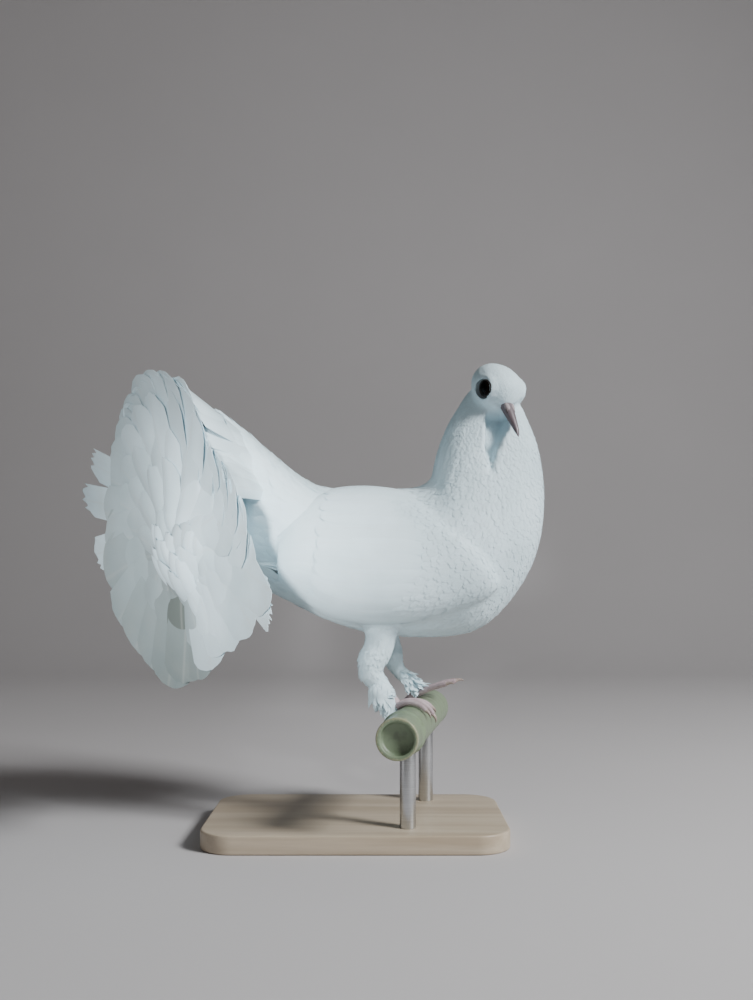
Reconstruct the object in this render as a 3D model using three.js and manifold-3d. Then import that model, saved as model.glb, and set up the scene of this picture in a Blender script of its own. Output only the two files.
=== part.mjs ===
// A white fantail pigeon at life size, standing on a short cut length of bamboo that two rods carry over
// a flat base. Millimetres, +Z up, +X the way the body faces, +Y the bird's left.
// The bird is laid out from a point on top of the bamboo, midway between the feet. At the end the whole
// model is moved so that its origin is the middle of the underside of its bounding box.
import * as THREE from "three";
import { mergeVertices } from "three/addons/utils/BufferGeometryUtils.js";
import Module from "manifold-3d";

const wasm = await Module();
wasm.setup();

// Driving dimensions
const GAP = 0.3; // clearance between pieces that touch
const RAD = Math.PI / 180;

const PERCH = {
  radius: 12.5, near: -86, far: 70, turn: 10 * RAD, shift: 11.5,
  ring: 1.4, ringWide: 2.2, ringAt: -60, sides: 20,
};
const STAND = { length: 190, width: 124, thick: 12, corner: 22, centreX: -28, lift: 48, rod: 5, rodAt: 42 };

// Median outline of the trunk from tail root to head: points on the back and on the belly, half the width
// between them, and how far the cross-section is swung towards the bird's right.
const TRUNK = [
  { back: [-150, -15, 156], belly: [-150, -15, 98], half: 20, swing: 36 },
  { back: [-128, -7, 190], belly: [-129, -7, 91], half: 31, swing: 33 },
  { back: [-104, -3, 177.5], belly: [-104, -3, 80], half: 39, swing: 22 },
  { back: [-78, -1, 157], belly: [-76, -1, 66], half: 43, swing: 9 },
  { back: [-52, 0, 140], belly: [-48, 0, 52], half: 45.5, swing: 0 },
  { back: [-20, 0, 139], belly: [-18, 0, 43], half: 46, swing: 0 },
  { back: [8, 0, 139], belly: [14, 0, 40.5], half: 46, swing: 0 },
  { back: [19, 0, 144], belly: [46, 0, 43.5], half: 45.5, swing: 0 },
  { back: [21, 0, 151], belly: [67, 0, 58], half: 43.5, swing: 0 },
  { back: [23, 0, 160], belly: [84, 0, 82], half: 39, swing: 0 },
  { back: [26, -1, 169], belly: [92.5, 0, 107], half: 33, swing: 0 },
  { back: [30, -2, 179], belly: [94.5, -1, 136], half: 25, swing: 0 },
  { back: [36, -4, 189], belly: [90.5, -3, 163], half: 17.5, swing: 2 },
  { back: [43, -5, 199], belly: [83, -4, 182], half: 12.5, swing: 6 },
  { back: [52, -6, 207], belly: [76, -6, 194], half: 9, swing: 12 },
];
const TRUNK_STEPS = 32;
const TRUNK_SIDES = 24;
const TRUNK_FULLNESS = 2.15;

// The neck starts above a line from the nape hollow to the breast, and the head above a nearly level cut.
const NECK_CUT = { low: [19, 146], high: [94, 122] };
const HEAD_CUT = { low: [34, 190], high: [86, 180] };

// The head looks to the bird's right and down. Its own axes are forward, left and up from its middle.
const HEAD = { at: [62.8, -16, 201.6], turn: 55 * RAD, nod: 45 * RAD };
const SKULL = [
  { forward: -18.5, top: 0.8, bottom: -5, half: 3 },
  { forward: -15.5, top: 6.8, bottom: -11, half: 10.5 },
  { forward: -9, top: 10.8, bottom: -15, half: 15 },
  { forward: -1, top: 12.4, bottom: -15.6, half: 17.2 },
  { forward: 6, top: 12, bottom: -14, half: 16 },
  { forward: 11, top: 9.6, bottom: -11.8, half: 12.2 },
  { forward: 14.4, top: 4.8, bottom: -9.6, half: 7.2 },
  { forward: 16, top: 0.2, bottom: -7.6, half: 3.4 },
];
const SKULL_STEPS = 12;
const SKULL_SIDES = 16;
const EYE = {
  radius: 6.2, at: [2.7, 12.4, -1.1], across: 12, down: 8,
  lid: 5.3, lidOut: 3.3, lidThick: 0.95,
};
const BILL = { start: 11, length: 26, drop: 5.6, height: -4.6, deep: 3.8, half: 4.2, tip: 0.6 };
const CERE = { at: 17.2, out: 1.9, up: 0.6, length: 4.4, radius: 2.1 };

// The tail is a nearly flat wheel of feathers, swung to the bird's right, leaning back and slightly coned.
const FAN = { hub: [-136, -5, 116], swing: 36 * RAD, lean: 8.4 * RAD, cone: 8 * RAD };
const CUSHION = { radius: 46, front: 14, back: 13, rim: 4 };

// Tail feathers: how far they reach at each angle from the top, in degrees towards the bird's right. The
// top ones are worn short, and the last ones on each side are long and stand apart.
const REACH = [
  [-178, 107], [-162, 113], [-146, 114], [-130, 114], [-118, 120], [-106, 114], [-90, 103], [-66, 95],
  [-34, 97], [0, 100], [22, 99], [34, 95], [44, 82], [54, 76], [64, 78], [76, 89], [88, 98], [98, 100],
  [104, 108], [109, 136], [116, 128], [124, 116], [134, 105], [146, 98], [158, 97], [176, 102],
];
const RECTRICES = { count: 27, root: 16, half: 17.5, thick: 0.6, tilt: 0.11, jitter: 2.4, corner: 2.4 };
const UNDER_COVERTS = {
  count: 10, from: -165, to: 165, root: 24, reach: 60, half: 14, start: -9, end: -4.2,
};
const STRAYS = { angles: [-64, -80, -95], reaches: [120, 134, 127], half: 8.5, start: 6, end: 5.5 };
const UPPER_COVERTS = { count: 7, from: -72, to: 72, root: 30, reach: 76, half: 15, start: 8, end: 4.2 };

// Side wing: top edge, bottom edge and widest point of each cross-section, as distances from the median.
const WING = [
  { x: 61, top: [38, 79], bottom: [36, 72], out: 41 },
  { x: 52, top: [37, 94], bottom: [32, 64], out: 49 },
  { x: 36, top: [31, 113], bottom: [30, 57], out: 52.5 },
  { x: 12, top: [17, 133], bottom: [28, 50.5], out: 54 },
  { x: -15, top: [11, 139], bottom: [28, 48.5], out: 54.5 },
  { x: -42, top: [13, 137], bottom: [30, 54], out: 53.5 },
  { x: -62, top: [25, 127], bottom: [33, 66], out: 51 },
  { x: -76, top: [34, 108], bottom: [37, 78], out: 46.5 },
];
const WING_STEPS = 12;
const WING_SIDES = 14;

// Tiers of wing feathers from the wrist back. Shares run from the wrist to the end of the wing's base, and
// angles in degrees from the top edge to the bottom edge.
const WING_TIERS = [
  { steps: 3, count: 5, root: 0.55, tip: [1.02, 1.13], rows: [118, 158], narrow: 0.55, half: 11, lift: 0.8 },
  { steps: 3, count: 7, root: 0.5, tip: [0.93, 1.04], rows: [14, 112], narrow: 0.7, half: 12, lift: 1.1 },
  { steps: 2, count: 7, root: 0.3, tip: [0.62, 0.66], rows: [12, 150], narrow: 0.85, half: 14, lift: 1.2 },
  { steps: 2, count: 6, root: 0.14, tip: [0.4, 0.43], rows: [14, 150], narrow: 0.9, half: 15, lift: 1.3 },
];
const WING_VANE = { sunk: 1.2, thick: 1.9, edge: 0.4, room: 2.4 };

// Legs: where each foot stands along the bamboo, its hock behind and above it, and its hip.
const LEGS = [
  {
    side: "right", along: -24, seat: -38 * RAD, hock: [-20, -23, 23], hip: [-12, -23, 52], full: 1,
    curl: 1, rise: 0, muff: [-165, -65],
  },
  {
    side: "left", along: 24, seat: -14 * RAD, hock: [-3, 23, 22], hip: [-12, 23, 52], full: 0.74,
    curl: 0.1, rise: 0.3, muff: [-40, 100],
  },
];
const LEG = { hip: 13, knee: 10.4, hock: 8.6, shank: 6.2, end: 4.8, endUp: 8.5 };
const MUFF = { count: 5, length: 13, half: 3.4, thick: 0.6, fall: 0.5 };
const ANKLE = { radius: 3.2, up: 4 };
const TOES = [
  { name: "inner", splay: -0.4, length: 22, radius: 2, spread: -2.6 },
  { name: "middle", splay: 0, length: 27, radius: 2.2, spread: 0 },
  { name: "outer", splay: 0.4, length: 22, radius: 2, spread: 2.6 },
  { name: "hind", splay: 0.1, length: -12, radius: 2, spread: 0 },
];
const CLAW = { length: 6.5, radius: 1.3, tip: 0.25 };

// Colours
const WHITE_PLUMAGE = new THREE.MeshStandardMaterial({ color: 0xf1f3f1, roughness: 0.85, metalness: 0 });
const PINK_SKIN = new THREE.MeshStandardMaterial({ color: 0xc98f86, roughness: 0.6, metalness: 0 });
const PALE_HORN = new THREE.MeshStandardMaterial({ color: 0xc7aea3, roughness: 0.45, metalness: 0 });
const DARK_EYE = new THREE.MeshStandardMaterial({ color: 0x0c0908, roughness: 0.08, metalness: 0 });
const GREEN_BAMBOO = new THREE.MeshStandardMaterial({ color: 0x8b9a5b, roughness: 0.55, metalness: 0 });
const STAND_WOOD = new THREE.MeshStandardMaterial({ color: 0xcfc4b0, roughness: 0.6, metalness: 0 });
const STAND_STEEL = new THREE.MeshStandardMaterial({ color: 0x9a9c9e, roughness: 0.35, metalness: 1 });

// Solids and meshes
function toSolid(geometry) {
  const bare = new THREE.BufferGeometry();
  bare.setAttribute("position", geometry.getAttribute("position"));
  bare.setIndex(geometry.index);
  const merged = mergeVertices(bare, 1e-4);
  const triVerts = new Uint32Array(merged.index.array);
  const vertProperties = new Float32Array(merged.attributes.position.array);
  return new wasm.Manifold(new wasm.Mesh({ numProp: 3, vertProperties, triVerts }));
}

function toGeometry(solid) {
  const mesh = solid.getMesh();
  const geometry = new THREE.BufferGeometry();
  geometry.setAttribute("position", new THREE.BufferAttribute(new Float32Array(mesh.vertProperties), 3));
  geometry.setIndex(new THREE.BufferAttribute(new Uint32Array(mesh.triVerts), 1));
  geometry.computeVertexNormals();
  return geometry;
}

// Seeded random numbers from 0 to 1, so that every build gives the same bird.
function randomFrom(seed) {
  let state = seed;
  return () => {
    state = (state * 1664525 + 1013904223) % 4294967296;
    return state / 4294967296;
  };
}

// Builds a closed solid from points and triangles, with its faces turned outwards.
function closed(points, triangles) {
  let volume = 0;
  for (const [a, b, c] of triangles) {
    volume += points[a].dot(new THREE.Vector3().crossVectors(points[b], points[c]));
  }
  const index = triangles.flatMap(([a, b, c]) => (volume > 0 ? [a, b, c] : [a, c, b]));
  const geometry = new THREE.BufferGeometry().setFromPoints(points);
  geometry.setIndex(index);
  return toSolid(geometry);
}

// Skins a row of rings that have the same number of points, and closes each end with a fan.
function loft(rings) {
  const count = rings[0].length;
  const points = rings.flat();
  const triangles = [];
  for (let i = 0; i + 1 < rings.length; i++) {
    for (let j = 0; j < count; j++) {
      const a = i * count + j;
      const b = i * count + ((j + 1) % count);
      triangles.push([a, b, b + count], [a, b + count, a + count]);
    }
  }
  for (const [ring, start] of [[rings[0], 0], [rings.at(-1), (rings.length - 1) * count]]) {
    const middle = points.length;
    points.push(ring.reduce((sum, p) => sum.add(p), new THREE.Vector3()).divideScalar(count));
    for (let j = 0; j < count; j++) {
      const next = start + ((j + 1) % count);
      triangles.push(start === 0 ? [middle, next, start + j] : [middle, start + j, next]);
    }
  }
  return closed(points, triangles);
}

// A rounded cross-section about a centre, between an up vector and a side vector.
function oval(centre, up, side, count, fullness = 2) {
  return Array.from({ length: count }, (_, j) => {
    const angle = (2 * Math.PI * j) / count;
    const [c, s] = [Math.cos(angle), Math.sin(angle)];
    const a = Math.sign(c) * Math.abs(c) ** (2 / fullness);
    const b = Math.sign(s) * Math.abs(s) ** (2 / fullness);
    return centre.clone().addScaledVector(up, a).addScaledVector(side, b);
  });
}

const vector = (values) => new THREE.Vector3(...values);

function curveThrough(points) {
  return new THREE.CatmullRomCurve3(points, false, "catmullrom", 0.5);
}

// A round limb along a curve, with its radius as a function of the share of the way along.
function tube(points, radiusAt, steps, sides) {
  const curve = curveThrough(points);
  const frames = curve.computeFrenetFrames(steps, false);
  const rings = [];
  for (let i = 0; i <= steps; i++) {
    const share = i / steps;
    const up = frames.normals[i].clone().multiplyScalar(radiusAt(share));
    const side = frames.binormals[i].clone().multiplyScalar(radiusAt(share));
    rings.push(oval(curve.getPointAt(share), up, side, sides));
  }
  return loft(rings);
}

// A vane: a thin plate in rows from root to tip and columns from edge to edge, its two faces split alike.
// place gives the middle of the plate, its normal and its thickness at a share of the length and a place
// across from -1 to 1.
function vane(rows, columns, place) {
  const stride = columns + 1;
  const size = (rows + 1) * stride;
  const upper = [];
  const lower = [];
  for (let i = 0; i <= rows; i++) {
    for (let j = 0; j <= columns; j++) {
      const { at, normal, thick } = place(i / rows, (2 * j) / columns - 1);
      upper.push(at.clone().addScaledVector(normal, thick / 2));
      lower.push(at.clone().addScaledVector(normal, -thick / 2));
    }
  }
  const triangles = [];
  for (let i = 0; i < rows; i++) {
    for (let j = 0; j < columns; j++) {
      const [a, b] = [i * stride + j, i * stride + j + 1];
      const [c, d] = [b + stride, a + stride];
      triangles.push([a, b, c], [a, c, d], [a + size, c + size, b + size], [a + size, d + size, c + size]);
    }
  }
  const rim = [];
  for (let j = 0; j < columns; j++) rim.push(j);
  for (let i = 0; i < rows; i++) rim.push(i * stride + columns);
  for (let j = columns; j > 0; j--) rim.push(rows * stride + j);
  for (let i = rows; i > 0; i--) rim.push(i * stride);
  rim.forEach((p, k) => {
    const q = rim[(k + 1) % rim.length];
    triangles.push([q, p, p + size], [q, p + size, q + size]);
  });
  return closed([...upper, ...lower], triangles);
}

// Width of a feather as a share of its half-width: narrow at the root and full beyond the middle.
const featherWidth = (share, narrow) =>
  narrow + (1 - narrow) * Math.sin((Math.min(1, share * 1.35) * Math.PI) / 2);

// Joins solids and keeps the largest closed body.
function fuse(solids) {
  const joined = wasm.Manifold.union(solids);
  const outer = wasm.Manifold.union([joined]).decompose();
  return outer.reduce((best, one) => (one.volume() > best.volume() ? one : best));
}

function largest(solid) {
  return solid.decompose().reduce((best, one) => (one.volume() > best.volume() ? one : best));
}

// Trunk, neck and rump
function trunk(grow = 0) {
  const backs = curveThrough(TRUNK.map((s) => vector(s.back)));
  const bellies = curveThrough(TRUNK.map((s) => vector(s.belly)));
  const widths = curveThrough(TRUNK.map((s) => new THREE.Vector3(s.half, s.swing, 0)));
  const rings = [];
  for (let i = 0; i <= TRUNK_STEPS; i++) {
    const share = i / TRUNK_STEPS;
    const [back, belly, width] = [backs.getPoint(share), bellies.getPoint(share), widths.getPoint(share)];
    const up = back.clone().sub(belly).multiplyScalar(0.5);
    const centre = back.add(belly).multiplyScalar(0.5);
    up.setLength(up.length() + grow);
    const swing = width.y * RAD;
    const side = new THREE.Vector3(Math.sin(swing), -Math.cos(swing), 0).multiplyScalar(width.x + grow);
    rings.push(oval(centre, up, side, TRUNK_SIDES, TRUNK_FULLNESS));
  }
  return loft(rings);
}

// The half-space above a cut line that is drawn in side view, as a plane normal and its offset.
function cutPlane({ low, high }) {
  const along = new THREE.Vector2(high[0] - low[0], high[1] - low[1]).normalize();
  const normal = [-along.y, 0, along.x];
  return { normal, offset: normal[0] * low[0] + normal[2] * low[1] };
}

const above = (solid, { normal, offset }) => solid.trimByPlane(normal, offset + GAP / 2);
const below = (solid, { normal, offset }) => solid.trimByPlane(normal.map((v) => -v), GAP / 2 - offset);

// Head
function headFrame() {
  const { turn, nod } = HEAD;
  const forward = new THREE.Vector3(
    Math.cos(nod) * Math.cos(turn),
    -Math.cos(nod) * Math.sin(turn),
    -Math.sin(nod),
  );
  const left = new THREE.Vector3(Math.sin(turn), Math.cos(turn), 0);
  const up = new THREE.Vector3().crossVectors(forward, left);
  return new THREE.Matrix4().makeBasis(forward, left, up).setPosition(...HEAD.at);
}

const HEAD_FRAME = headFrame();
const inHead = (forward, left, up) => new THREE.Vector3(forward, left, up).applyMatrix4(HEAD_FRAME);

function skull() {
  const tops = curveThrough(SKULL.map((s) => new THREE.Vector3(s.forward, 0, s.top)));
  const chins = curveThrough(SKULL.map((s) => new THREE.Vector3(s.forward, s.half, s.bottom)));
  const rings = [];
  for (let i = 0; i <= SKULL_STEPS; i++) {
    const [top, chin] = [tops.getPoint(i / SKULL_STEPS), chins.getPoint(i / SKULL_STEPS)];
    const middle = (top.z + chin.z) / 2;
    rings.push(
      oval(
        new THREE.Vector3(top.x, 0, middle),
        new THREE.Vector3(0, 0, (top.z - chin.z) / 2),
        new THREE.Vector3(0, -chin.y, 0),
        SKULL_SIDES,
        2.1,
      ).map((p) => p.applyMatrix4(HEAD_FRAME)),
    );
  }
  return loft(rings);
}

// Half of the bill: the upper half hooks over slightly at the tip, the lower one is shallower and shorter.
function mandible(upper, grow = 0) {
  const { start, length, drop, height, deep, half, tip } = BILL;
  const reach = upper ? length : length - 1.4;
  const rings = [];
  const steps = 7;
  for (let i = 0; i <= steps; i++) {
    const share = i / steps;
    const taper = 1 - share ** 1.5;
    const line = height - drop * share ** 1.15 - (upper && share > 0.85 ? (share - 0.85) * 7 : 0);
    const depth = (upper ? deep : deep * 0.62) * taper + tip + grow;
    const width = half * (0.2 + 0.8 * taper) * (upper ? 1 : 0.9) + grow;
    const base = line + (upper ? 1 : -1) * (GAP / 2 - grow);
    const ring = [];
    const sides = 8;
    for (let j = 0; j <= sides; j++) {
      const angle = (Math.PI * j) / sides;
      const rise = Math.sin(angle) * (depth + grow) * (upper ? 1 : -1);
      ring.push(inHead(start + reach * share, Math.cos(angle) * width, base + rise));
    }
    rings.push(ring);
  }
  return loft(rings);
}

// The soft white swelling over each nostril.
function cere(side, grow = 0) {
  const { at, out, up, length, radius } = CERE;
  const points = [-0.5, 0, 0.5].map((share) => {
    const forward = at + length * share;
    return inHead(forward, side * (out - share * 0.9), BILL.height + up - share * 1.6 + 0.6);
  });
  return tube(points, (s) => (radius + grow) * Math.sqrt(Math.max(0.12, 1 - (2 * s - 1) ** 2)), 5, 8);
}

function ball(centre, radius, across, down) {
  const sphere = new THREE.SphereGeometry(radius, across, down);
  sphere.translate(centre.x, centre.y, centre.z);
  sphere.deleteAttribute("normal");
  sphere.deleteAttribute("uv");
  return toSolid(mergeVertices(sphere, 1e-4));
}

function eyeCentre(side) {
  const [forward, out, up] = EYE.at;
  return inHead(forward, side * out, up);
}

// The bare lid ring that stands a little proud of the feathers round the eye.
function lid(side) {
  const [forward, out, up] = EYE.at;
  const ring = new THREE.TorusGeometry(EYE.lid, EYE.lidThick, 5, 14);
  ring.deleteAttribute("normal");
  ring.deleteAttribute("uv");
  ring.rotateX(Math.PI / 2);
  ring.rotateZ(-side * 0.2);
  ring.translate(forward + 0.4, side * (out + EYE.lidOut), up);
  ring.applyMatrix4(HEAD_FRAME);
  return toSolid(mergeVertices(ring, 1e-4));
}

// Bamboo and its stand
const alongPerch = new THREE.Vector3(Math.sin(PERCH.turn), Math.cos(PERCH.turn), 0);
const acrossPerch = new THREE.Vector3(Math.cos(PERCH.turn), -Math.sin(PERCH.turn), 0);
const perchPoint = (along, radius, angle) =>
  new THREE.Vector3(PERCH.shift, 0, -PERCH.radius)
    .addScaledVector(alongPerch, along)
    .addScaledVector(acrossPerch, radius * Math.sin(angle))
    .addScaledVector(new THREE.Vector3(0, 0, 1), radius * Math.cos(angle));

function perchRadius(along) {
  const { radius, ring, ringAt, ringWide } = PERCH;
  return radius + ring * Math.exp(-(((along - ringAt) / ringWide) ** 2));
}

function perch(grow = 0) {
  const { near, far, ringAt, ringWide, sides } = PERCH;
  const stops = [near, ...[-2, -1, 0, 1, 2].map((step) => ringAt + step * ringWide), far];
  const ringOf = (along) =>
    Array.from({ length: sides }, (_, j) =>
      perchPoint(along, perchRadius(along) + grow, (2 * Math.PI * j) / sides),
    );
  return loft(stops.map(ringOf));
}

const floorZ = -2 * PERCH.radius - STAND.lift - STAND.thick;

function standBase() {
  const { length, width, thick, corner, centreX } = STAND;
  const [a, b] = [length / 2, width / 2];
  const outline = new THREE.Shape();
  outline.moveTo(-a + corner, -b);
  outline.lineTo(a - corner, -b);
  outline.absarc(a - corner, -b + corner, corner, -Math.PI / 2, 0, false);
  outline.lineTo(a, b - corner);
  outline.absarc(a - corner, b - corner, corner, 0, Math.PI / 2, false);
  outline.lineTo(-a + corner, b);
  outline.absarc(-a + corner, b - corner, corner, Math.PI / 2, Math.PI, false);
  outline.lineTo(-a, -b + corner);
  outline.absarc(-a + corner, -b + corner, corner, Math.PI, 1.5 * Math.PI, false);
  const plate = new THREE.ExtrudeGeometry(outline, { depth: thick, bevelEnabled: false, curveSegments: 7 });
  plate.translate(centreX, 0, floorZ);
  plate.deleteAttribute("normal");
  plate.deleteAttribute("uv");
  return toSolid(mergeVertices(plate, 1e-4));
}

function standRod(along) {
  const foot = floorZ + STAND.thick + GAP;
  const middle = perchPoint(along, 0, 0);
  const top = middle.z;
  const rod = new THREE.CylinderGeometry(STAND.rod, STAND.rod, top - foot, 16);
  rod.rotateX(Math.PI / 2);
  rod.translate(middle.x, middle.y, (top + foot) / 2);
  rod.deleteAttribute("normal");
  rod.deleteAttribute("uv");
  return toSolid(mergeVertices(rod, 1e-4));
}

// Feet
function toePath(leg, toe) {
  const lift = PERCH.radius + GAP + toe.radius;
  const turn = toe.length < 0 ? -1 : 1;
  const reach = Math.abs(toe.length);
  const points = [];
  const steps = 6;
  for (let i = 0; i <= steps; i++) {
    const gone = (reach * i) / steps;
    const curl = toe.length < 0 ? 1 : leg.curl;
    const angle = leg.seat + (turn * gone * curl) / lift;
    const point = perchPoint(leg.along + toe.spread + toe.splay * gone, lift, angle);
    const straight = gone * (1 - curl);
    point.addScaledVector(acrossPerch, turn * straight * Math.cos(angle));
    point.z += straight * (leg.rise - turn * Math.sin(angle));
    points.push(point);
  }
  return points;
}

const footTop = (leg) =>
  perchPoint(leg.along, PERCH.radius + LEG.endUp, leg.seat).add(new THREE.Vector3(-1.2, 0, 0));

function foot(leg) {
  const ankle = perchPoint(leg.along, PERCH.radius + GAP + ANKLE.up, leg.seat);
  const stub = tube([footTop(leg), ankle], () => ANKLE.radius, 1, 10);
  const pad = ball(ankle.clone().add(new THREE.Vector3(0, 0, -1)), ANKLE.radius, 8, 6);
  const toes = TOES.map((toe) =>
    tube(toePath(leg, toe), (share) => toe.radius * (1.06 - 0.3 * share), 6, 6),
  );
  const whole = fuse([stub, pad, ...toes]).subtract(perch(GAP));
  return largest(whole.trimByPlane([0, 0, -1], -footTop(leg).z));
}

function claw(leg, toe) {
  const path = toePath(leg, toe);
  const end = path.at(-1);
  const heading = end.clone().sub(path.at(-2)).normalize();
  const down = new THREE.Vector3(0, 0, -1);
  const start = end.clone().addScaledVector(heading, GAP);
  const middle = start.clone().addScaledVector(heading, CLAW.length * 0.5).addScaledVector(down, 0.3);
  const tip = start.clone().addScaledVector(heading, CLAW.length * 0.88).addScaledVector(down, 2.2);
  const radiusAt = (share) => CLAW.radius + (CLAW.tip - CLAW.radius) * share;
  return largest(tube([start, middle, tip], radiusAt, 3, 6).subtract(perch(GAP)));
}

// The feathered leg down to just above the toes, with the short feathers that fan out over the foot.
function legShape(leg) {
  const hip = vector(leg.hip);
  const hock = vector(leg.hock);
  const end = footTop(leg).add(new THREE.Vector3(0, 0, GAP));
  const knee = hip.clone().lerp(hock, 0.45).add(new THREE.Vector3(2.5, 0, -1));
  const middle = hock.clone().lerp(end, 0.5).add(new THREE.Vector3(-0.8, 0, 0));
  const radii = new THREE.CatmullRomCurve3(
    [LEG.hip, LEG.knee, LEG.hock, LEG.shank, LEG.end].map(
      (radius, i) => new THREE.Vector3(i, radius * leg.full, 0),
    ),
  );
  const limb = tube([hip, knee, hock, middle, end], (share) => radii.getPoint(share).y, 8, 11);
  const vanes = [];
  for (let k = 0; k < MUFF.count; k++) {
    const bearing = THREE.MathUtils.lerp(leg.muff[0], leg.muff[1], k / (MUFF.count - 1)) * RAD;
    const out = new THREE.Vector3(Math.cos(bearing), Math.sin(bearing), 0);
    const across = new THREE.Vector3(-out.y, out.x, 0);
    const root = end.clone().add(new THREE.Vector3(0, 0, 3 + (k % 2)));
    vanes.push(
      vane(3, 2, (share, v) => {
        const reach = MUFF.length * share * (1 - 0.18 * v * v * share);
        const drop = MUFF.fall * reach * share + 0.25 * v * v;
        const at = root
          .clone()
          .addScaledVector(out, reach)
          .addScaledVector(across, v * MUFF.half * featherWidth(share, 0.5));
        at.z -= drop;
        return { at, normal: new THREE.Vector3(0, 0, 1), thick: MUFF.thick * (1.6 - 0.6 * share) };
      }),
    );
  }
  return fuse([limb, ...vanes]).trimByPlane([0, 0, 1], end.z);
}

// Wing
const wingCurve = (pick) =>
  curveThrough(WING.map((section) => new THREE.Vector3(section.x, ...pick(section))));
const WING_EDGES = {
  top: wingCurve((section) => section.top),
  bottom: wingCurve((section) => section.bottom),
  out: wingCurve((section) => [section.out, 0]),
};

function wingSection(share, grow) {
  const top = WING_EDGES.top.getPoint(share);
  const bottom = WING_EDGES.bottom.getPoint(share);
  const centre = top.clone().add(bottom).multiplyScalar(0.5);
  const up = top.sub(bottom).multiplyScalar(0.5);
  up.setLength(up.length() + grow);
  const side = new THREE.Vector3(0, WING_EDGES.out.getPoint(share).y - centre.y + grow, 0);
  return { centre, up, side };
}

function wingBase(grow = 0) {
  const rings = [];
  for (let i = 0; i <= WING_STEPS; i++) {
    const { centre, up, side } = wingSection(i / WING_STEPS, grow);
    rings.push(oval(centre, up, side, WING_SIDES, 2.2));
  }
  return loft(rings);
}

// A point over the wing's outer side and the direction away from it. Past the end of the base it goes
// straight on.
function overWing(share, angle) {
  const inside = Math.min(share, 1);
  const { centre, up, side } = wingSection(inside, 0);
  const at = centre.addScaledVector(up, Math.cos(angle)).addScaledVector(side, Math.sin(angle));
  if (share > 1) {
    const before = overWing(0.94, angle).at;
    at.add(at.clone().sub(before).multiplyScalar((share - 1) / 0.06));
  }
  const normal = new THREE.Vector3()
    .addScaledVector(up, Math.cos(angle) / up.lengthSq())
    .addScaledVector(side, Math.sin(angle) / side.lengthSq())
    .normalize();
  return { at, normal };
}

function wingVanes() {
  const random = randomFrom(7);
  const { sunk, thick, edge } = WING_VANE;
  return WING_TIERS.flatMap((tier) =>
    Array.from({ length: tier.count }, (_, k) => {
      const row = k / (tier.count - 1);
      const angle = THREE.MathUtils.lerp(tier.rows[0], tier.rows[1], row) * RAD;
      const tip = THREE.MathUtils.lerp(tier.tip[0], tier.tip[1], row) + (random() - 0.5) * 0.02;
      const spread = tier.half * RAD * (0.95 + 0.1 * random());
      return vane(tier.steps, 2, (share, v) => {
        const reach = tier.root + (tip - tier.root) * share * (1 - 0.09 * v * v * share ** 2);
        const { at, normal } = overWing(reach, angle + v * spread * featherWidth(share, tier.narrow));
        const lift = -sunk + (sunk + tier.lift) * share + edge * v;
        const depth = thick - Math.max(0, reach - 0.95) * 7;
        return { at: at.addScaledVector(normal, lift - depth / 2), normal, thick: depth };
      });
    }),
  );
}

const mirrored = (solid) => solid.mirror([0, 1, 0]);

// Tail
function fanAxes() {
  const { swing, lean } = FAN;
  const normal = new THREE.Vector3(
    Math.cos(swing) * Math.cos(lean),
    Math.sin(swing) * Math.cos(lean),
    Math.sin(lean),
  );
  const right = new THREE.Vector3(Math.sin(swing), -Math.cos(swing), 0);
  const up = new THREE.Vector3().crossVectors(normal, right).negate();
  return { normal, right, up };
}

const AXES = fanAxes();

// A point of the tail wheel: distance from the hub, angle from the top towards the bird's right, and
// height in front of the wheel.
function fanPoint(distance, angle, height = 0) {
  const flat = distance * Math.cos(FAN.cone);
  return vector(FAN.hub)
    .addScaledVector(AXES.up, flat * Math.cos(angle))
    .addScaledVector(AXES.right, flat * Math.sin(angle))
    .addScaledVector(AXES.normal, height - distance * Math.sin(FAN.cone));
}

// A round swelling about the middle of the wheel, thick in the middle and thin at its rim.
function cushion() {
  const { radius, front, back, rim } = CUSHION;
  const [rings, sides] = [3, 18];
  const radii = Array.from({ length: rings }, (_, i) => (radius * (i + 1)) / rings);
  const bulge = (r, depth) => rim / 2 + depth * (1 - (r / radius) ** 2);
  const faces = [
    ...radii.map((r) => [r, bulge(r, front)]),
    ...radii.toReversed().map((r) => [r, -bulge(r, back)]),
  ];
  const circle = ([r, height]) =>
    Array.from({ length: sides }, (_, j) => fanPoint(r, (2 * Math.PI * j) / sides, height));
  return loft(faces.map(circle));
}

// One feather of the wheel. lean is the slope across it that carries each feather over the next.
function fanFeather({ angle, root, reach, half, slope, heightAt, thick, cut, columns, narrow }) {
  const across = fanPoint(1, angle + Math.PI / 2).sub(fanPoint(0, 0)).normalize();
  return vane(2, columns, (share, v) => {
    const corner = cut * Math.max(0, Math.abs(v) - 0.3) * share ** 2;
    const x = v * half * featherWidth(share, narrow);
    const at = fanPoint(root + (reach - root) * share - corner, angle, heightAt(share) + slope(x));
    return { at: at.addScaledVector(across, x), normal: AXES.normal, thick };
  });
}

function reachAt(degrees) {
  const next = REACH.findIndex(([angle]) => angle >= degrees);
  const [a, b] = [REACH[Math.max(0, next - 1)], REACH[Math.max(1, next)]];
  return THREE.MathUtils.mapLinear(degrees, a[0], b[0], a[1], b[1]);
}

// Each feather slopes so that, seen from behind the bird, those nearer the ends of the fan lie on top.
const slopeTowards = (degrees, tilt) => (x) =>
  (degrees === 0 ? Math.abs(x) : Math.sign(degrees) * x) * tilt;

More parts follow.
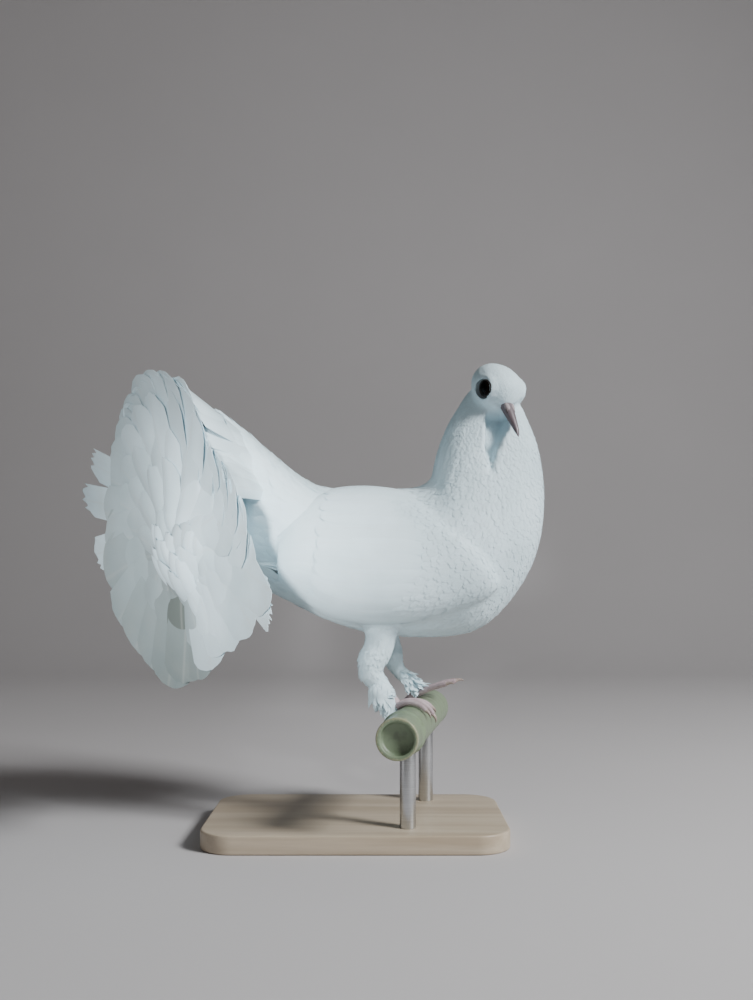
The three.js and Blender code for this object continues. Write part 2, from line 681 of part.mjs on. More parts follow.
function rectrices() {
  const random = randomFrom(31);
  const { count, root, half, thick, tilt, jitter, corner } = RECTRICES;
  const [first, last] = [REACH[0][0], REACH.at(-1)[0]];
  return Array.from({ length: count }, (_, k) => {
    const degrees = THREE.MathUtils.lerp(first, last, k / (count - 1));
    return fanFeather({
      angle: degrees * RAD,
      root,
      reach: reachAt(degrees) + (random() - 0.5) * 2 * jitter,
      half: half * (0.92 + 0.16 * random()),
      slope: slopeTowards(degrees, tilt),
      heightAt: () => 0,
      thick,
      cut: corner * (0.6 + 0.8 * random()),
      columns: 3,
      narrow: 0.3,
    });
  });
}

// Worn feathers that stand out past the rim on the far side.
function strays() {
  const { angles, reaches, half, start, end } = STRAYS;
  return angles.map((degrees, k) =>
    fanFeather({
      angle: degrees * RAD,
      root: RECTRICES.root,
      reach: reaches[k],
      half,
      slope: slopeTowards(degrees, RECTRICES.tilt),
      heightAt: (share) => start + (end - start) * share,
      thick: RECTRICES.thick,
      cut: half / 2,
      columns: 2,
      narrow: 0.4,
    }),
  );
}

function coverts({ count, from, to, root, reach, half, start, end }, seed) {
  const random = randomFrom(seed);
  const { thick, tilt } = RECTRICES;
  return Array.from({ length: count }, (_, k) => {
    const degrees = THREE.MathUtils.lerp(from, to, k / (count - 1));
    return fanFeather({
      angle: degrees * RAD,
      root,
      reach: reach + (random() - 0.5) * 8,
      half,
      slope: slopeTowards(degrees + 0.1, tilt),
      heightAt: (share) => start + (end - start) * share,
      thick: thick * 1.3,
      cut: 9,
      columns: 2,
      narrow: 0.5,
    });
  });
}

// Assembly
const fanFront = {
  normal: AXES.normal.toArray(),
  offset: AXES.normal.dot(vector(FAN.hub)) + CUSHION.front + CUSHION.rim / 2,
};
const body = trunk();
const grown = trunk(GAP);
const necked = cutPlane(NECK_CUT);
const headed = cutPlane(HEAD_CUT);
const rump = largest(below(body, fanFront));
const covered = [...coverts(UNDER_COVERTS, 5), ...coverts(UPPER_COVERTS, 9)];
const tail = fuse([rump, cushion(), ...rectrices(), ...strays(), ...covered]);

const wing = fuse([wingBase(), ...wingVanes()]);
const wingRoom = wingBase(WING_VANE.room);
const feet = LEGS.map(foot);
const legs = LEGS.map((leg) =>
  largest(
    [grown, wingRoom, mirrored(wingRoom)].reduce((solid, other) => solid.subtract(other), legShape(leg)),
  ),
);

const head = fuse([skull(), above(body, headed), lid(1), lid(-1)]);
const upperBill = fuse([mandible(true), cere(1), cere(-1)]);
const cereRoom = fuse([cere(1, GAP), cere(-1, GAP)]);
const billRoom = fuse([mandible(true, GAP), mandible(false, GAP), cereRoom]);
const socketed = [1, -1].reduce(
  (solid, side) => solid.subtract(ball(eyeCentre(side), EYE.radius + GAP, EYE.across, EYE.down)),
  head.subtract(billRoom),
);

const nodes = new Map([
  ["torso", [largest(above(below(body, necked), fanFront)), WHITE_PLUMAGE]],
  ["neck", [largest(below(above(body, necked), headed).subtract(billRoom)), WHITE_PLUMAGE]],
  ["head", [largest(above(socketed, headed)), WHITE_PLUMAGE]],
  ["bill_upper", [upperBill, PALE_HORN]],
  ["bill_lower", [largest(mandible(false).subtract(cereRoom)), PALE_HORN]],
  ["eye_right", [ball(eyeCentre(-1), EYE.radius, EYE.across, EYE.down), DARK_EYE]],
  ["eye_left", [ball(eyeCentre(1), EYE.radius, EYE.across, EYE.down), DARK_EYE]],
  ["wing_right", [largest(mirrored(wing).subtract(grown)), WHITE_PLUMAGE]],
  ["wing_left", [largest(wing.subtract(grown)), WHITE_PLUMAGE]],
  ["tail", [tail, WHITE_PLUMAGE]],
  ["perch", [perch(), GREEN_BAMBOO]],
  ["stand_base", [standBase(), STAND_WOOD]],
  ["stand_rod_near", [standRod(-STAND.rodAt).subtract(perch(GAP)), STAND_STEEL]],
  ["stand_rod_far", [standRod(STAND.rodAt).subtract(perch(GAP)), STAND_STEEL]],
]);
LEGS.forEach((leg, i) => {
  nodes.set(`leg_${leg.side}`, [legs[i], WHITE_PLUMAGE]);
  nodes.set(`foot_${leg.side}`, [feet[i], PINK_SKIN]);
  for (const toe of TOES) nodes.set(`claw_${leg.side}_${toe.name}`, [claw(leg, toe), PALE_HORN]);
});

const pigeon = new THREE.Group();
for (const [name, [solid, material]] of nodes) {
  const mesh = new THREE.Mesh(toGeometry(solid), material);
  mesh.name = name;
  pigeon.add(mesh);
}
const box = new THREE.Box3().setFromObject(pigeon);
pigeon.position.set(-(box.min.x + box.max.x) / 2, -(box.min.y + box.max.y) / 2, -box.min.z);

export default pigeon;
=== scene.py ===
"""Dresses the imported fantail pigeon: skin, plumage, fan, wings, head, feet, bamboo and stand.

Lengths inside the classes are millimetres, laid out from a point on top of the bamboo midway between the
feet. `Frame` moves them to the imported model's metres.
"""
import logging
import math
from dataclasses import dataclass, field
from enum import Enum
from typing import Callable, Iterable, Sequence, Union

import bmesh
import bpy
import numpy as np
from mathutils import Matrix, Vector
from mathutils.bvhtree import BVHTree
from mathutils.kdtree import KDTree


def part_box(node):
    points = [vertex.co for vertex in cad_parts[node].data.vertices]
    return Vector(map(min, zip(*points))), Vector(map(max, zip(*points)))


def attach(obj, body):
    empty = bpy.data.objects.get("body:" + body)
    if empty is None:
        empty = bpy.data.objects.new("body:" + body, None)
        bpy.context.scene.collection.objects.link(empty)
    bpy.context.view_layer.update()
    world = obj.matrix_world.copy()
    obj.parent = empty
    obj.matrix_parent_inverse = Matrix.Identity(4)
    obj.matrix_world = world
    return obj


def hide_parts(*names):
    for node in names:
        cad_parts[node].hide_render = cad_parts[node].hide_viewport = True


LOG = logging.getLogger("fantail")
MM = 0.001
UP = Vector((0, 0, 1))
GOLDEN_TURN = 2.399963
BMesh = bmesh.types.BMesh
Material = bpy.types.Material
Mesh = bpy.types.Mesh
Object = bpy.types.Object
Socket = bpy.types.NodeSocket
Number = Union[Socket, float]
Colour = Union[Socket, Sequence[float]]
Point = tuple[float, float, float]
Rows = list[list[Vector]]
Place = Callable[[float, float], tuple[Vector, Vector]]

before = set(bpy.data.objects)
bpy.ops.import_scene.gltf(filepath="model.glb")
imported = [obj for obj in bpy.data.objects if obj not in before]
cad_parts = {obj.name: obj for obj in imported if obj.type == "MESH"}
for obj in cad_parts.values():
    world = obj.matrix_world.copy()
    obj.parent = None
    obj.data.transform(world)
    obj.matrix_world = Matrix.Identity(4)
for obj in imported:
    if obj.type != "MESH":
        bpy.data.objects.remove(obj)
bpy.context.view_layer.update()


class Side(Enum):
    """The bird's two sides, as the sign of Y."""

    RIGHT = -1
    LEFT = 1

    @property
    def word(self) -> str:
        """The side's name as the nodes use it."""
        return self.name.lower()


@dataclass(frozen=True)
class Perch:
    """The cut length of bamboo, in millimetres."""

    radius: float = 12.5
    near: float = -86.0
    far: float = 70.0
    turn: float = math.radians(10)
    shift: float = 11.5
    ring: float = 1.4
    ring_at: float = -60.0
    wall: float = 2.6

    @property
    def along(self) -> Vector:
        """Direction of the bamboo from the near end to the far end."""
        return Vector((math.sin(self.turn), math.cos(self.turn), 0))

    @property
    def across(self) -> Vector:
        """Horizontal direction across the bamboo, towards the bird's front."""
        return Vector((math.cos(self.turn), -math.sin(self.turn), 0))

    @property
    def middle(self) -> Vector:
        """The point of the bamboo's axis between the feet."""
        return Vector((self.shift, 0, -self.radius))

    def point(self, along: float, radius: float, angle: float) -> Vector:
        """A point round the bamboo.

        Args:
            along: Distance along it from between the feet.
            radius: Distance from its axis.
            angle: Angle from its top towards the bird's front.

        Returns:
            The point in millimetres.
        """
        axis = self.middle + self.along * along
        return axis + self.across * (radius * math.sin(angle)) + Vector((0, 0, radius * math.cos(angle)))


PERCH = Perch()


class Frame:
    """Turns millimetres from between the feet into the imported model's metres."""

    def __init__(self) -> None:
        """Finds the layout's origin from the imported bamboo."""
        low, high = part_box("perch")
        middle = PERCH.point((PERCH.near + PERCH.far) / 2, 0, 0)
        self.origin = (low + high) / 2 - middle * MM

    def to_metres(self, point: Vector) -> Vector:
        """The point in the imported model's metres."""
        return self.origin + point * MM

    def to_layout(self, place: Vector) -> Vector:
        """The point in millimetres from between the feet."""
        return (place - self.origin) / MM

    @property
    def matrix(self) -> Matrix:
        """The same change as a matrix."""
        return Matrix.Translation(self.origin) @ Matrix.Scale(MM, 4)


FRAME = Frame()


def spline(points: Sequence[Sequence[float]], share: float) -> list[float]:
    """A uniform Catmull-Rom curve through points of any number of values.

    Args:
        points: The values that the curve passes through.
        share: Place along it from 0 to 1.

    Returns:
        The values there.
    """
    place = min(max(share, 0.0), 1.0) * (len(points) - 1)
    index = min(int(place), len(points) - 2)
    t = place - index
    before = points[index - 1] if index > 0 else [2 * a - b for a, b in zip(points[0], points[1])]
    after = (
        points[index + 2]
        if index + 2 < len(points)
        else [2 * a - b for a, b in zip(points[-1], points[-2])]
    )
    return [
        0.5 * (2 * b + (c - a) * t + (2 * a - 5 * b + 4 * c - d) * t**2 + (3 * b - a - 3 * c + d) * t**3)
        for a, b, c, d in zip(before, points[index], points[index + 1], after)
    ]


def smoothstep(low: float, high: float, value: float) -> float:
    """A smooth 0 to 1 ramp between low and high."""
    t = min(max((value - low) / (high - low), 0.0), 1.0)
    return t * t * (3 - 2 * t)


def lerp(a: float, b: float, share: float) -> float:
    """Linear blend of two numbers."""
    return a + (b - a) * share


def swell(share: float, narrow: float) -> float:
    """A feather's width as a share of its widest, from narrow at the root."""
    return narrow + (1 - narrow) * math.sin(min(1.0, share * 1.35) * math.pi / 2)


def rounded(v: float) -> float:
    """How far a round tip falls back at a place across it from -1 to 1."""
    return 1 - math.sqrt(1 - (0.97 * v) ** 2)


def breadth(share: float, narrow: float, blunt: float) -> float:
    """A feather's width as a share of its widest: narrow at the root, rounded in at the tip.

    Args:
        share: The share of the feather's length, from its root.
        narrow: The width at the root.
        blunt: Where the tip starts to round in.

    Returns:
        The width as a share of the widest.
    """
    full = swell(share, narrow)
    end = max(0.0, (share - blunt) / (1 - blunt))
    return full * math.sqrt(max(0.0, 1 - end * end)) if end > 0 else full


def unit(rows: np.ndarray) -> np.ndarray:
    """Vectors scaled to length one."""
    return rows / np.maximum(np.linalg.norm(rows, axis=-1, keepdims=True), 1e-12)


class Slot(Enum):
    """Names for material slots, which nothing in the script assigns."""

    PLUMAGE = "plumage"
    BILL = "bill"
    EYE = "eye"
    FOOT_SKIN = "foot_skin"
    CLAW = "claw"
    BAMBOO = "bamboo"
    STAND_WOOD = "stand_wood"
    STAND_ROD = "stand_rod"


class Graph:
    """A material's nodes, with short calls to add and link them."""

    def __init__(self, name: str) -> None:
        """Starts a material that has only its shader and output.

        Args:
            name: The material's name.
        """
        self.material = bpy.data.materials.new(name)
        self.material.use_nodes = True
        self.nodes = self.material.node_tree.nodes
        self.links = self.material.node_tree.links
        self.shader = self.nodes["Principled BSDF"]

    def add(self, kind: str, inputs: dict | None = None, **settings: object) -> bpy.types.Node:
        """Adds a node.

        Args:
            kind: The node's type without the ShaderNode prefix.
            inputs: Values or source sockets by input name or index.
            **settings: Properties of the node.

        Returns:
            The new node.
        """
        node = self.nodes.new("ShaderNode" + kind)
        for key, value in settings.items():
            setattr(node, key, value)
        for key, value in (inputs or {}).items():
            if isinstance(value, Socket):
                self.links.new(value, node.inputs[key])
            else:
                node.inputs[key].default_value = value
        return node

    @property
    def where(self) -> Socket:
        """Object coordinates."""
        return self.add("TexCoord").outputs["Object"]

    def attribute(self, name: str) -> Socket:
        """The value of one of the mesh's attributes."""
        return self.add("Attribute", attribute_name=name).outputs["Fac"]

    def maths(self, operation: str, *values: Number) -> Socket:
        """A Math node's result from numbers or sockets."""
        return self.add("Math", dict(enumerate(values)), operation=operation).outputs[0]

    def times(self, first: Number, second: Number) -> Socket:
        """The product of two numbers or sockets."""
        return self.maths("MULTIPLY", first, second)

    def noise(self, scale: float, detail: float = 3.0, stretch: Point = (1, 1, 1)) -> Socket:
        """Noise on Object coordinates.

        Args:
            scale: Features to a metre.
            detail: Octaves.
            stretch: Scale along each axis before the noise.

        Returns:
            The noise's value socket.
        """
        mapped = self.add("Mapping", {"Vector": self.where, "Scale": stretch}).outputs[0]
        return self.add("TexNoise", {"Vector": mapped, "Scale": scale, "Detail": detail}).outputs[0]

    def ramp(self, source: Socket, stops: Iterable[tuple[float, Sequence[float]]]) -> Socket:
        """A colour ramp's colour socket from (place, colour) stops.

        Args:
            source: The value that picks the colour.
            stops: Places from 0 to 1 with their colours.

        Returns:
            The colour's socket.
        """
        node = self.add("ValToRGB", {0: source})
        elements = node.color_ramp.elements
        for place, colour in stops:
            element = elements.new(place)
            element.color = (*colour, 1)
        elements.remove(elements[0])
        elements.remove(elements[-1])
        return node.outputs[0]

    def mask(self, source: Socket, low: float, high: float) -> Socket:
        """A ramp from black at low to white at high."""
        return self.ramp(source, [(low, (0, 0, 0)), (high, (1, 1, 1))])

    def mix(self, share: Number, first: Colour, second: Colour) -> Socket:
        """Mixes two colours, each a socket or a colour.

        Args:
            share: How much of the second colour there is.
            first: The colour at 0.
            second: The colour at 1.

        Returns:
            The mixed colour's socket.
        """
        values = {0: share}
        for index, colour in ((6, first), (7, second)):
            values[index] = colour if isinstance(colour, Socket) else (*colour, 1)
        return self.add("Mix", values, data_type="RGBA").outputs[2]

    def bump(self, height: Socket, strength: float, distance: float) -> Socket:
        """A bump's normal socket."""
        return self.add("Bump", {"Height": height, "Strength": strength, "Distance": distance}).outputs[0]

    def finish(self, colour: Colour, normal: Socket | None, roughness: float, **constants: float) -> Material:
        """Joins the results to the shader and sets its constant sockets.

        Args:
            colour: The base colour.
            normal: The bump's normal, where there is one.
            roughness: The shader's roughness.
            **constants: Values of its other sockets by name.

        Returns:
            The finished material.
        """
        for name, source in (("Base Color", colour), ("Normal", normal), ("Roughness", roughness)):
            if isinstance(source, Socket):
                self.links.new(source, self.shader.inputs[name])
            elif source is not None:
                self.shader.inputs[name].default_value = source if name == "Roughness" else (*source, 1)
        for name, value in constants.items():
            self.shader.inputs[name.replace("_", " ").title().replace("Ior", "IOR")].default_value = value
        return self.material


@dataclass(frozen=True)
class Plumage:
    """White feathers: soft, faintly cool, each tuft a little different, barbs slanting off the shaft."""

    name: str
    light: Point = (0.70, 0.86, 0.935)
    shade: Point = (0.60, 0.755, 0.82)
    dull: float = 0.12
    # The colour that a feather's tint darkens it towards: random dullness on body and wings, soiling and
    # painted shade on the fan.
    dirt: Point = (0.30, 0.35, 0.33)
    shaft: float = 0.10
    barbs: float = 46.0
    slant: float = 26.0
    relief: float = 0.16
    soiled: Point | None = None
    hub: Vector | None = None
    rim: float = 0.12

    def build(self) -> Material:
        """Returns the feather material."""
        graph = Graph(self.name)
        broad = graph.noise(28, 3)
        colour = graph.ramp(broad, [(0.32, self.shade), (0.62, self.light)])
        tint = graph.attribute("tint")
        # Darkens each feather by its tint: random dullness, and on the fan also painted shade with soiling.
        colour = graph.mix(graph.times(tint, self.dull), colour, self.dirt)
        vane = graph.add("SeparateXYZ", {0: graph.add("UVMap", uv_map="Vane").outputs[0]})
        off = graph.maths("ABSOLUTE", graph.maths("SUBTRACT", vane.outputs[0], 0.5))
        shaft = graph.maths("SUBTRACT", 1.0, graph.times(off, 22.0))
        shaft = graph.add("Clamp", {0: shaft}).outputs[0]
        colour = graph.mix(graph.times(shaft, self.shaft), colour, (0.6, 0.61, 0.58))
        if self.soiled and self.hub is not None:
            colour = self.soil(graph, colour)
        turns = graph.maths("ADD", graph.times(vane.outputs[1], self.barbs), graph.times(off, -self.slant))
        wave = graph.maths("SINE", graph.times(turns, math.tau))
        wave = graph.maths("ADD", wave, graph.times(graph.noise(900, 2), 1.5))
        normal = graph.bump(wave, self.relief, 0.0002)
        sheen = {"sheen_weight": 0.1, "sheen_roughness": 0.5}
        return graph.finish(colour, normal, 0.7, specular_ior_level=0.3, **sheen)

    def soil(self, graph: Graph, colour: Socket) -> Socket:
        """Greys the feathers towards the rim of the fan, in patches.

        Args:
            graph: The material being built.
            colour: The clean colour.

        Returns:
            The soiled colour.
        """
        centred = graph.add("Mapping", {"Vector": graph.where, "Location": -self.hub}).outputs[0]
        reach = graph.add("VectorMath", {0: centred}, operation="LENGTH").outputs["Value"]
        limits = {"From Min": self.rim * 0.55, "From Max": self.rim * 1.05}
        far = graph.add("MapRange", {"Value": reach, **limits}).outputs[0]
        patch = graph.mask(graph.noise(45, 4), 0.42, 0.66)
        share = graph.times(graph.times(far, patch), 0.22)
        return graph.mix(share, colour, self.soiled)


@dataclass(frozen=True)
class BareSkin:
    """Scaled or bare skin with fine creases."""

    name: str
    colour: Point
    deep: Point
    grain: float = 1400.0
    relief: float = 0.35
    roughness: float = 0.55

    def build(self) -> Material:
        """Returns the skin material."""
        graph = Graph(self.name)
        patches = graph.noise(160, 4)
        colour = graph.ramp(patches, [(0.3, self.deep), (0.65, self.colour)])
        cells = graph.add("TexVoronoi", {"Vector": graph.where, "Scale": self.grain}).outputs["Distance"]
        normal = graph.bump(cells, self.relief, 0.0002)
        return graph.finish(colour, normal, self.roughness, specular_ior_level=0.4)


@dataclass(frozen=True)
class Horn:
    """The smooth horn of bill and claws, darker towards the tip."""

    name: str
    base: Point
    tip: Point
    roughness: float = 0.38

    def build(self) -> Material:
        """Returns the horn material."""
        graph = Graph(self.name)
        along = graph.attribute("along")
        colour = graph.mix(along, self.base, self.tip)
        streak = graph.noise(420, 4)
        colour = graph.mix(graph.times(streak, 0.35), colour, [c * 0.6 for c in self.base])
        normal = graph.bump(graph.noise(900, 3), 0.12, 0.0002)
        return graph.finish(colour, normal, self.roughness, coat_weight=0.15, coat_roughness=0.3)


@dataclass(frozen=True)
class WetEye:
    """A very dark brown iris round a black pupil under a wet cornea."""

    name: str = "dark_eye"
    pupil: Point = (0.0008, 0.0008, 0.0008)
    iris: Point = (0.004, 0.0022, 0.0016)

    def build(self) -> Material:
        """Returns the eye material."""
        graph = Graph(self.name)
        iris = graph.attribute("iris")
        stops = [(0.40, self.pupil), (0.46, self.iris), (0.80, self.iris), (0.95, self.pupil)]
        colour = graph.ramp(iris, stops)
        return graph.finish(colour, None, 0.12, specular_ior_level=0.05)


@dataclass(frozen=True)
class Bamboo:
    """Worn bamboo: green to straw yellow, streaked along its fibres."""

    name: str = "worn_bamboo"
    green: Point = (0.20, 0.255, 0.165)
    straw: Point = (0.35, 0.35, 0.22)
    stain: Point = (0.12, 0.135, 0.10)

    def build(self) -> Material:
        """Returns the bamboo material."""
        graph = Graph(self.name)
        skin = graph.add("SeparateXYZ", {0: graph.add("UVMap", uv_map="Culm").outputs[0]})
        round_it = graph.times(skin.outputs[0], math.tau)
        circle = {0: graph.maths("COSINE", round_it), 1: graph.maths("SINE", round_it)}
        ringed = graph.add("CombineXYZ", {**circle, 2: graph.times(skin.outputs[1], 0.7)}).outputs[0]
        coarse = {"Vector": ringed, "Scale": 9.0, "Detail": 6.0, "Distortion": 0.2}
        fibre = graph.add("TexNoise", coarse).outputs[0]
        drawn_out = graph.add("Mapping", {"Vector": ringed, "Scale": (14, 14, 1.2)}).outputs[0]
        fine = graph.add("TexNoise", {"Vector": drawn_out, "Scale": 4.0, "Detail": 4.0}).outputs[0]
        share = graph.maths("ADD", graph.times(skin.outputs[1], -9.0), graph.maths("ADD", fibre, 0.12))
        colour = graph.ramp(share, [(0.30, self.green), (0.58, self.straw)])
        colour = graph.mix(graph.times(fine, 0.35), colour, self.green)
        spots = graph.mask(graph.noise(120, 5), 0.56, 0.68)
        colour = graph.mix(graph.times(spots, 0.55), colour, self.stain)
        normal = graph.bump(fine, 0.25, 0.0003)
        return graph.finish(colour, normal, 0.42, coat_weight=0.1, coat_roughness=0.4)


@dataclass(frozen=True)
class Timber:
    """Pale satin wood with its grain along X."""

    name: str
    light: Point
    dark: Point

    def build(self) -> Material:
        """Returns the wood material."""
        graph = Graph(self.name)
        rings = graph.noise(9, 5, (0.35, 6, 6))
        colour = graph.ramp(rings, [(0.35, self.dark), (0.5, self.light), (0.64, self.dark)])
        pores = graph.noise(700, 3, (0.08, 1, 1))
        colour = graph.mix(graph.times(pores, 0.3), colour, [c * 0.6 for c in self.dark])
        normal = graph.bump(pores, 0.12, 0.0003)
        return graph.finish(colour, normal, 0.5, coat_weight=0.2, coat_roughness=0.35)


@dataclass(frozen=True)
class BrushedSteel:
    """Steel with fine rings from the lathe."""

    name: str = "brushed_steel"

    def build(self) -> Material:
        """Returns the steel material."""
        graph = Graph(self.name)
        rings = graph.noise(60, 4, (0.4, 0.4, 60))
        colour = graph.ramp(rings, [(0.3, (0.5, 0.51, 0.52)), (0.7, (0.66, 0.67, 0.68))])
        normal = graph.bump(rings, 0.08, 0.0002)
        return graph.finish(colour, normal, 0.32, metallic=1.0)


@dataclass(frozen=True)
class Backdrop:
    """The plain pale floor."""

    name: str = "pale_floor"
    colour: Point = (0.56, 0.54, 0.55)

    def build(self) -> Material:
        """Returns the floor material."""
        graph = Graph(self.name)
        worn = [c * 0.97 for c in self.colour]
        mottled = graph.ramp(graph.noise(3, 4), [(0.3, worn), (0.7, self.colour)])
        return graph.finish(mottled, None, 0.85)


def link(name: str, data: bpy.types.ID) -> Object:
    """Adds an object to the scene.

    Args:
        name: The object's name.
        data: Its mesh, lamp or camera.

    Returns:
        The object.
    """
    item = bpy.data.objects.new(name, data)
    bpy.context.scene.collection.objects.link(item)
    return item


def add_piece(name: str, mesh: Mesh, material: Material, nodes: Sequence[str] = ()) -> Object:
    """Links a finished mesh as a piece of the model.

    Args:
        name: The piece's name.
        mesh: Its mesh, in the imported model's metres.
        material: What it is made of.
        nodes: CAD nodes that it stands for.

    Returns:
        The object.
    """
    mesh.materials.clear()
    mesh.materials.append(material)
    mesh.polygons.foreach_set("use_smooth", [True] * len(mesh.polygons))
    piece = link(name, mesh)
    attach(piece, "root")
    if nodes:
        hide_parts(*nodes)
    LOG.info("%s: %d triangles", name, sum(len(p.vertices) - 2 for p in mesh.polygons))
    return piece


def bridge_rings(bm: BMesh, rings: Rows, capped: bool = True) -> list[list[bmesh.types.BMVert]]:
    """Skins rings of equal count, in order, and caps the two ends.

    Args:
        bm: The mesh that takes the shape.
        rings: The rings' points.
        capped: Whether the ends are closed.

    Returns:
        The new vertices, ring by ring.
    """
    loops = []
    made = []
    for ring in rings:
        circle = bmesh.ops.create_circle(bm, segments=len(ring), radius=1, cap_ends=False)["verts"]
        for vertex, point in zip(circle, ring):
            vertex.co = point
        made.append(circle)
        loops.append(list({edge for vertex in circle for edge in vertex.link_edges}))
    for first, second in zip(loops, loops[1:]):
        bmesh.ops.bridge_loops(bm, edges=first + second)
    if capped:
        for ends in (loops[0], loops[-1]):
            bmesh.ops.contextual_create(bm, geom=ends)
    return made


def to_mesh(bm: BMesh, name: str) -> Mesh:
    """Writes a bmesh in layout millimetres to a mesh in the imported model's metres.

    Args:
        bm: The shape. It is freed.
        name: The mesh's name.

    Returns:
        The mesh.
    """
    bmesh.ops.transform(bm, matrix=FRAME.matrix, verts=bm.verts)
    bmesh.ops.recalc_face_normals(bm, faces=bm.faces)
    mesh = bpy.data.meshes.new(name)
    bm.to_mesh(mesh)
    bm.free()
    return mesh


def voxel_skin(mesh: Mesh, size: float) -> Mesh:
    """Fuses a mesh in metres to one skin, with faces of a size in millimetres.

    Args:
        mesh: The mesh.
        size: The faces' size.

    Returns:
        The fused mesh.
    """
    form = link("form", mesh)
    remesh = form.modifiers.new("Remesh", "REMESH")
    remesh.mode = "VOXEL"
    remesh.voxel_size = size * MM
    fused = bpy.data.meshes.new_from_object(form.evaluated_get(bpy.context.evaluated_depsgraph_get()))
    bpy.data.objects.remove(form)
    return fused


def relax(bm: BMesh, times: int) -> None:
    """Smooths every point of a shape a number of times.

    Args:
        bm: The shape.
        times: How often.
    """
    axes = {"use_axis_x": True, "use_axis_y": True, "use_axis_z": True}
    for _ in range(times):
        bmesh.ops.smooth_vert(bm, verts=bm.verts, factor=0.5, **axes)


def add_ball(bm: BMesh, place: Matrix, radius: float = 1.0) -> None:
    """Adds a sphere, stretched where its place's matrix is."""
    bmesh.ops.create_uvsphere(bm, u_segments=24, v_segments=16, radius=radius, matrix=place)


def bevel(bm: BMesh, edges: list[bmesh.types.BMEdge], offset: float, segments: int) -> None:
    """Rounds edges off."""
    rounding = {"offset": offset, "segments": segments, "profile": 0.5}
    bmesh.ops.bevel(bm, geom=edges, affect="EDGES", material=-1, **rounding)


def oval(centre: Vector, up: Vector, side: Vector, count: int, fullness: float = 2.0) -> list[Vector]:
    """A rounded section between an up vector and a side vector.

    Args:
        centre: Its middle.
        up: From the middle to its top.
        side: From the middle to its side.
        count: How many points.
        fullness: 2 for an ellipse, more for a squarer section.

    Returns:
        The points in order.
    """
    ring = []
    for j in range(count):
        c, s = math.cos(math.tau * j / count), math.sin(math.tau * j / count)
        a = math.copysign(abs(c) ** (2 / fullness), c)
        b = math.copysign(abs(s) ** (2 / fullness), s)
        ring.append(centre + up * a + side * b)
    return ring


@dataclass
class Trunk:
    """The body's middle line from the tail root to the head, which the feathers' lie follows."""

    line: tuple[Point, ...] = (
        (-140, -10, 134), (-116, -5, 137), (-78, -1, 112), (-50, 0, 96), (-19, 0, 91), (11, 0, 90),
        (34, 0, 95), (46, 0, 106), (54, -1, 121), (60, -3, 139), (63, -3, 158), (64, -4, 176), (63, -7, 190),
        (62, -13, 202),
    )
    steps: int = 90

    def samples(self) -> tuple[np.ndarray, np.ndarray]:
        """Points along the line and its direction towards the tail, in metres."""
        shares = [i / self.steps for i in range(self.steps + 1)]
        points = np.array([FRAME.to_metres(Vector(spline(self.line, share))) for share in shares])
        ways = -np.gradient(points, axis=0)
        return points, ways / np.linalg.norm(ways, axis=1)[:, None]


@dataclass
class HeadPose:
    """Where the head is and which way it looks, in layout millimetres."""

    at: Point = (62.8, -16, 201.6)
    turn: float = math.radians(55)
    nod: float = math.radians(45)

    @property
    def matrix(self) -> Matrix:
        """From the head's forward, left and up to the layout."""
        flat = math.cos(self.nod)
        forward = Vector((flat * math.cos(self.turn), -flat * math.sin(self.turn), -math.sin(self.nod)))
        left = Vector((math.sin(self.turn), math.cos(self.turn), 0))
        up = forward.cross(left)
        basis = Matrix((forward, left, up)).transposed().to_4x4()
        return Matrix.Translation(self.at) @ basis

    def point(self, forward: float, left: float, up: float) -> Vector:
        """A point of the head in layout millimetres."""
        return self.matrix @ Vector((forward, left, up))


HEAD = HeadPose()


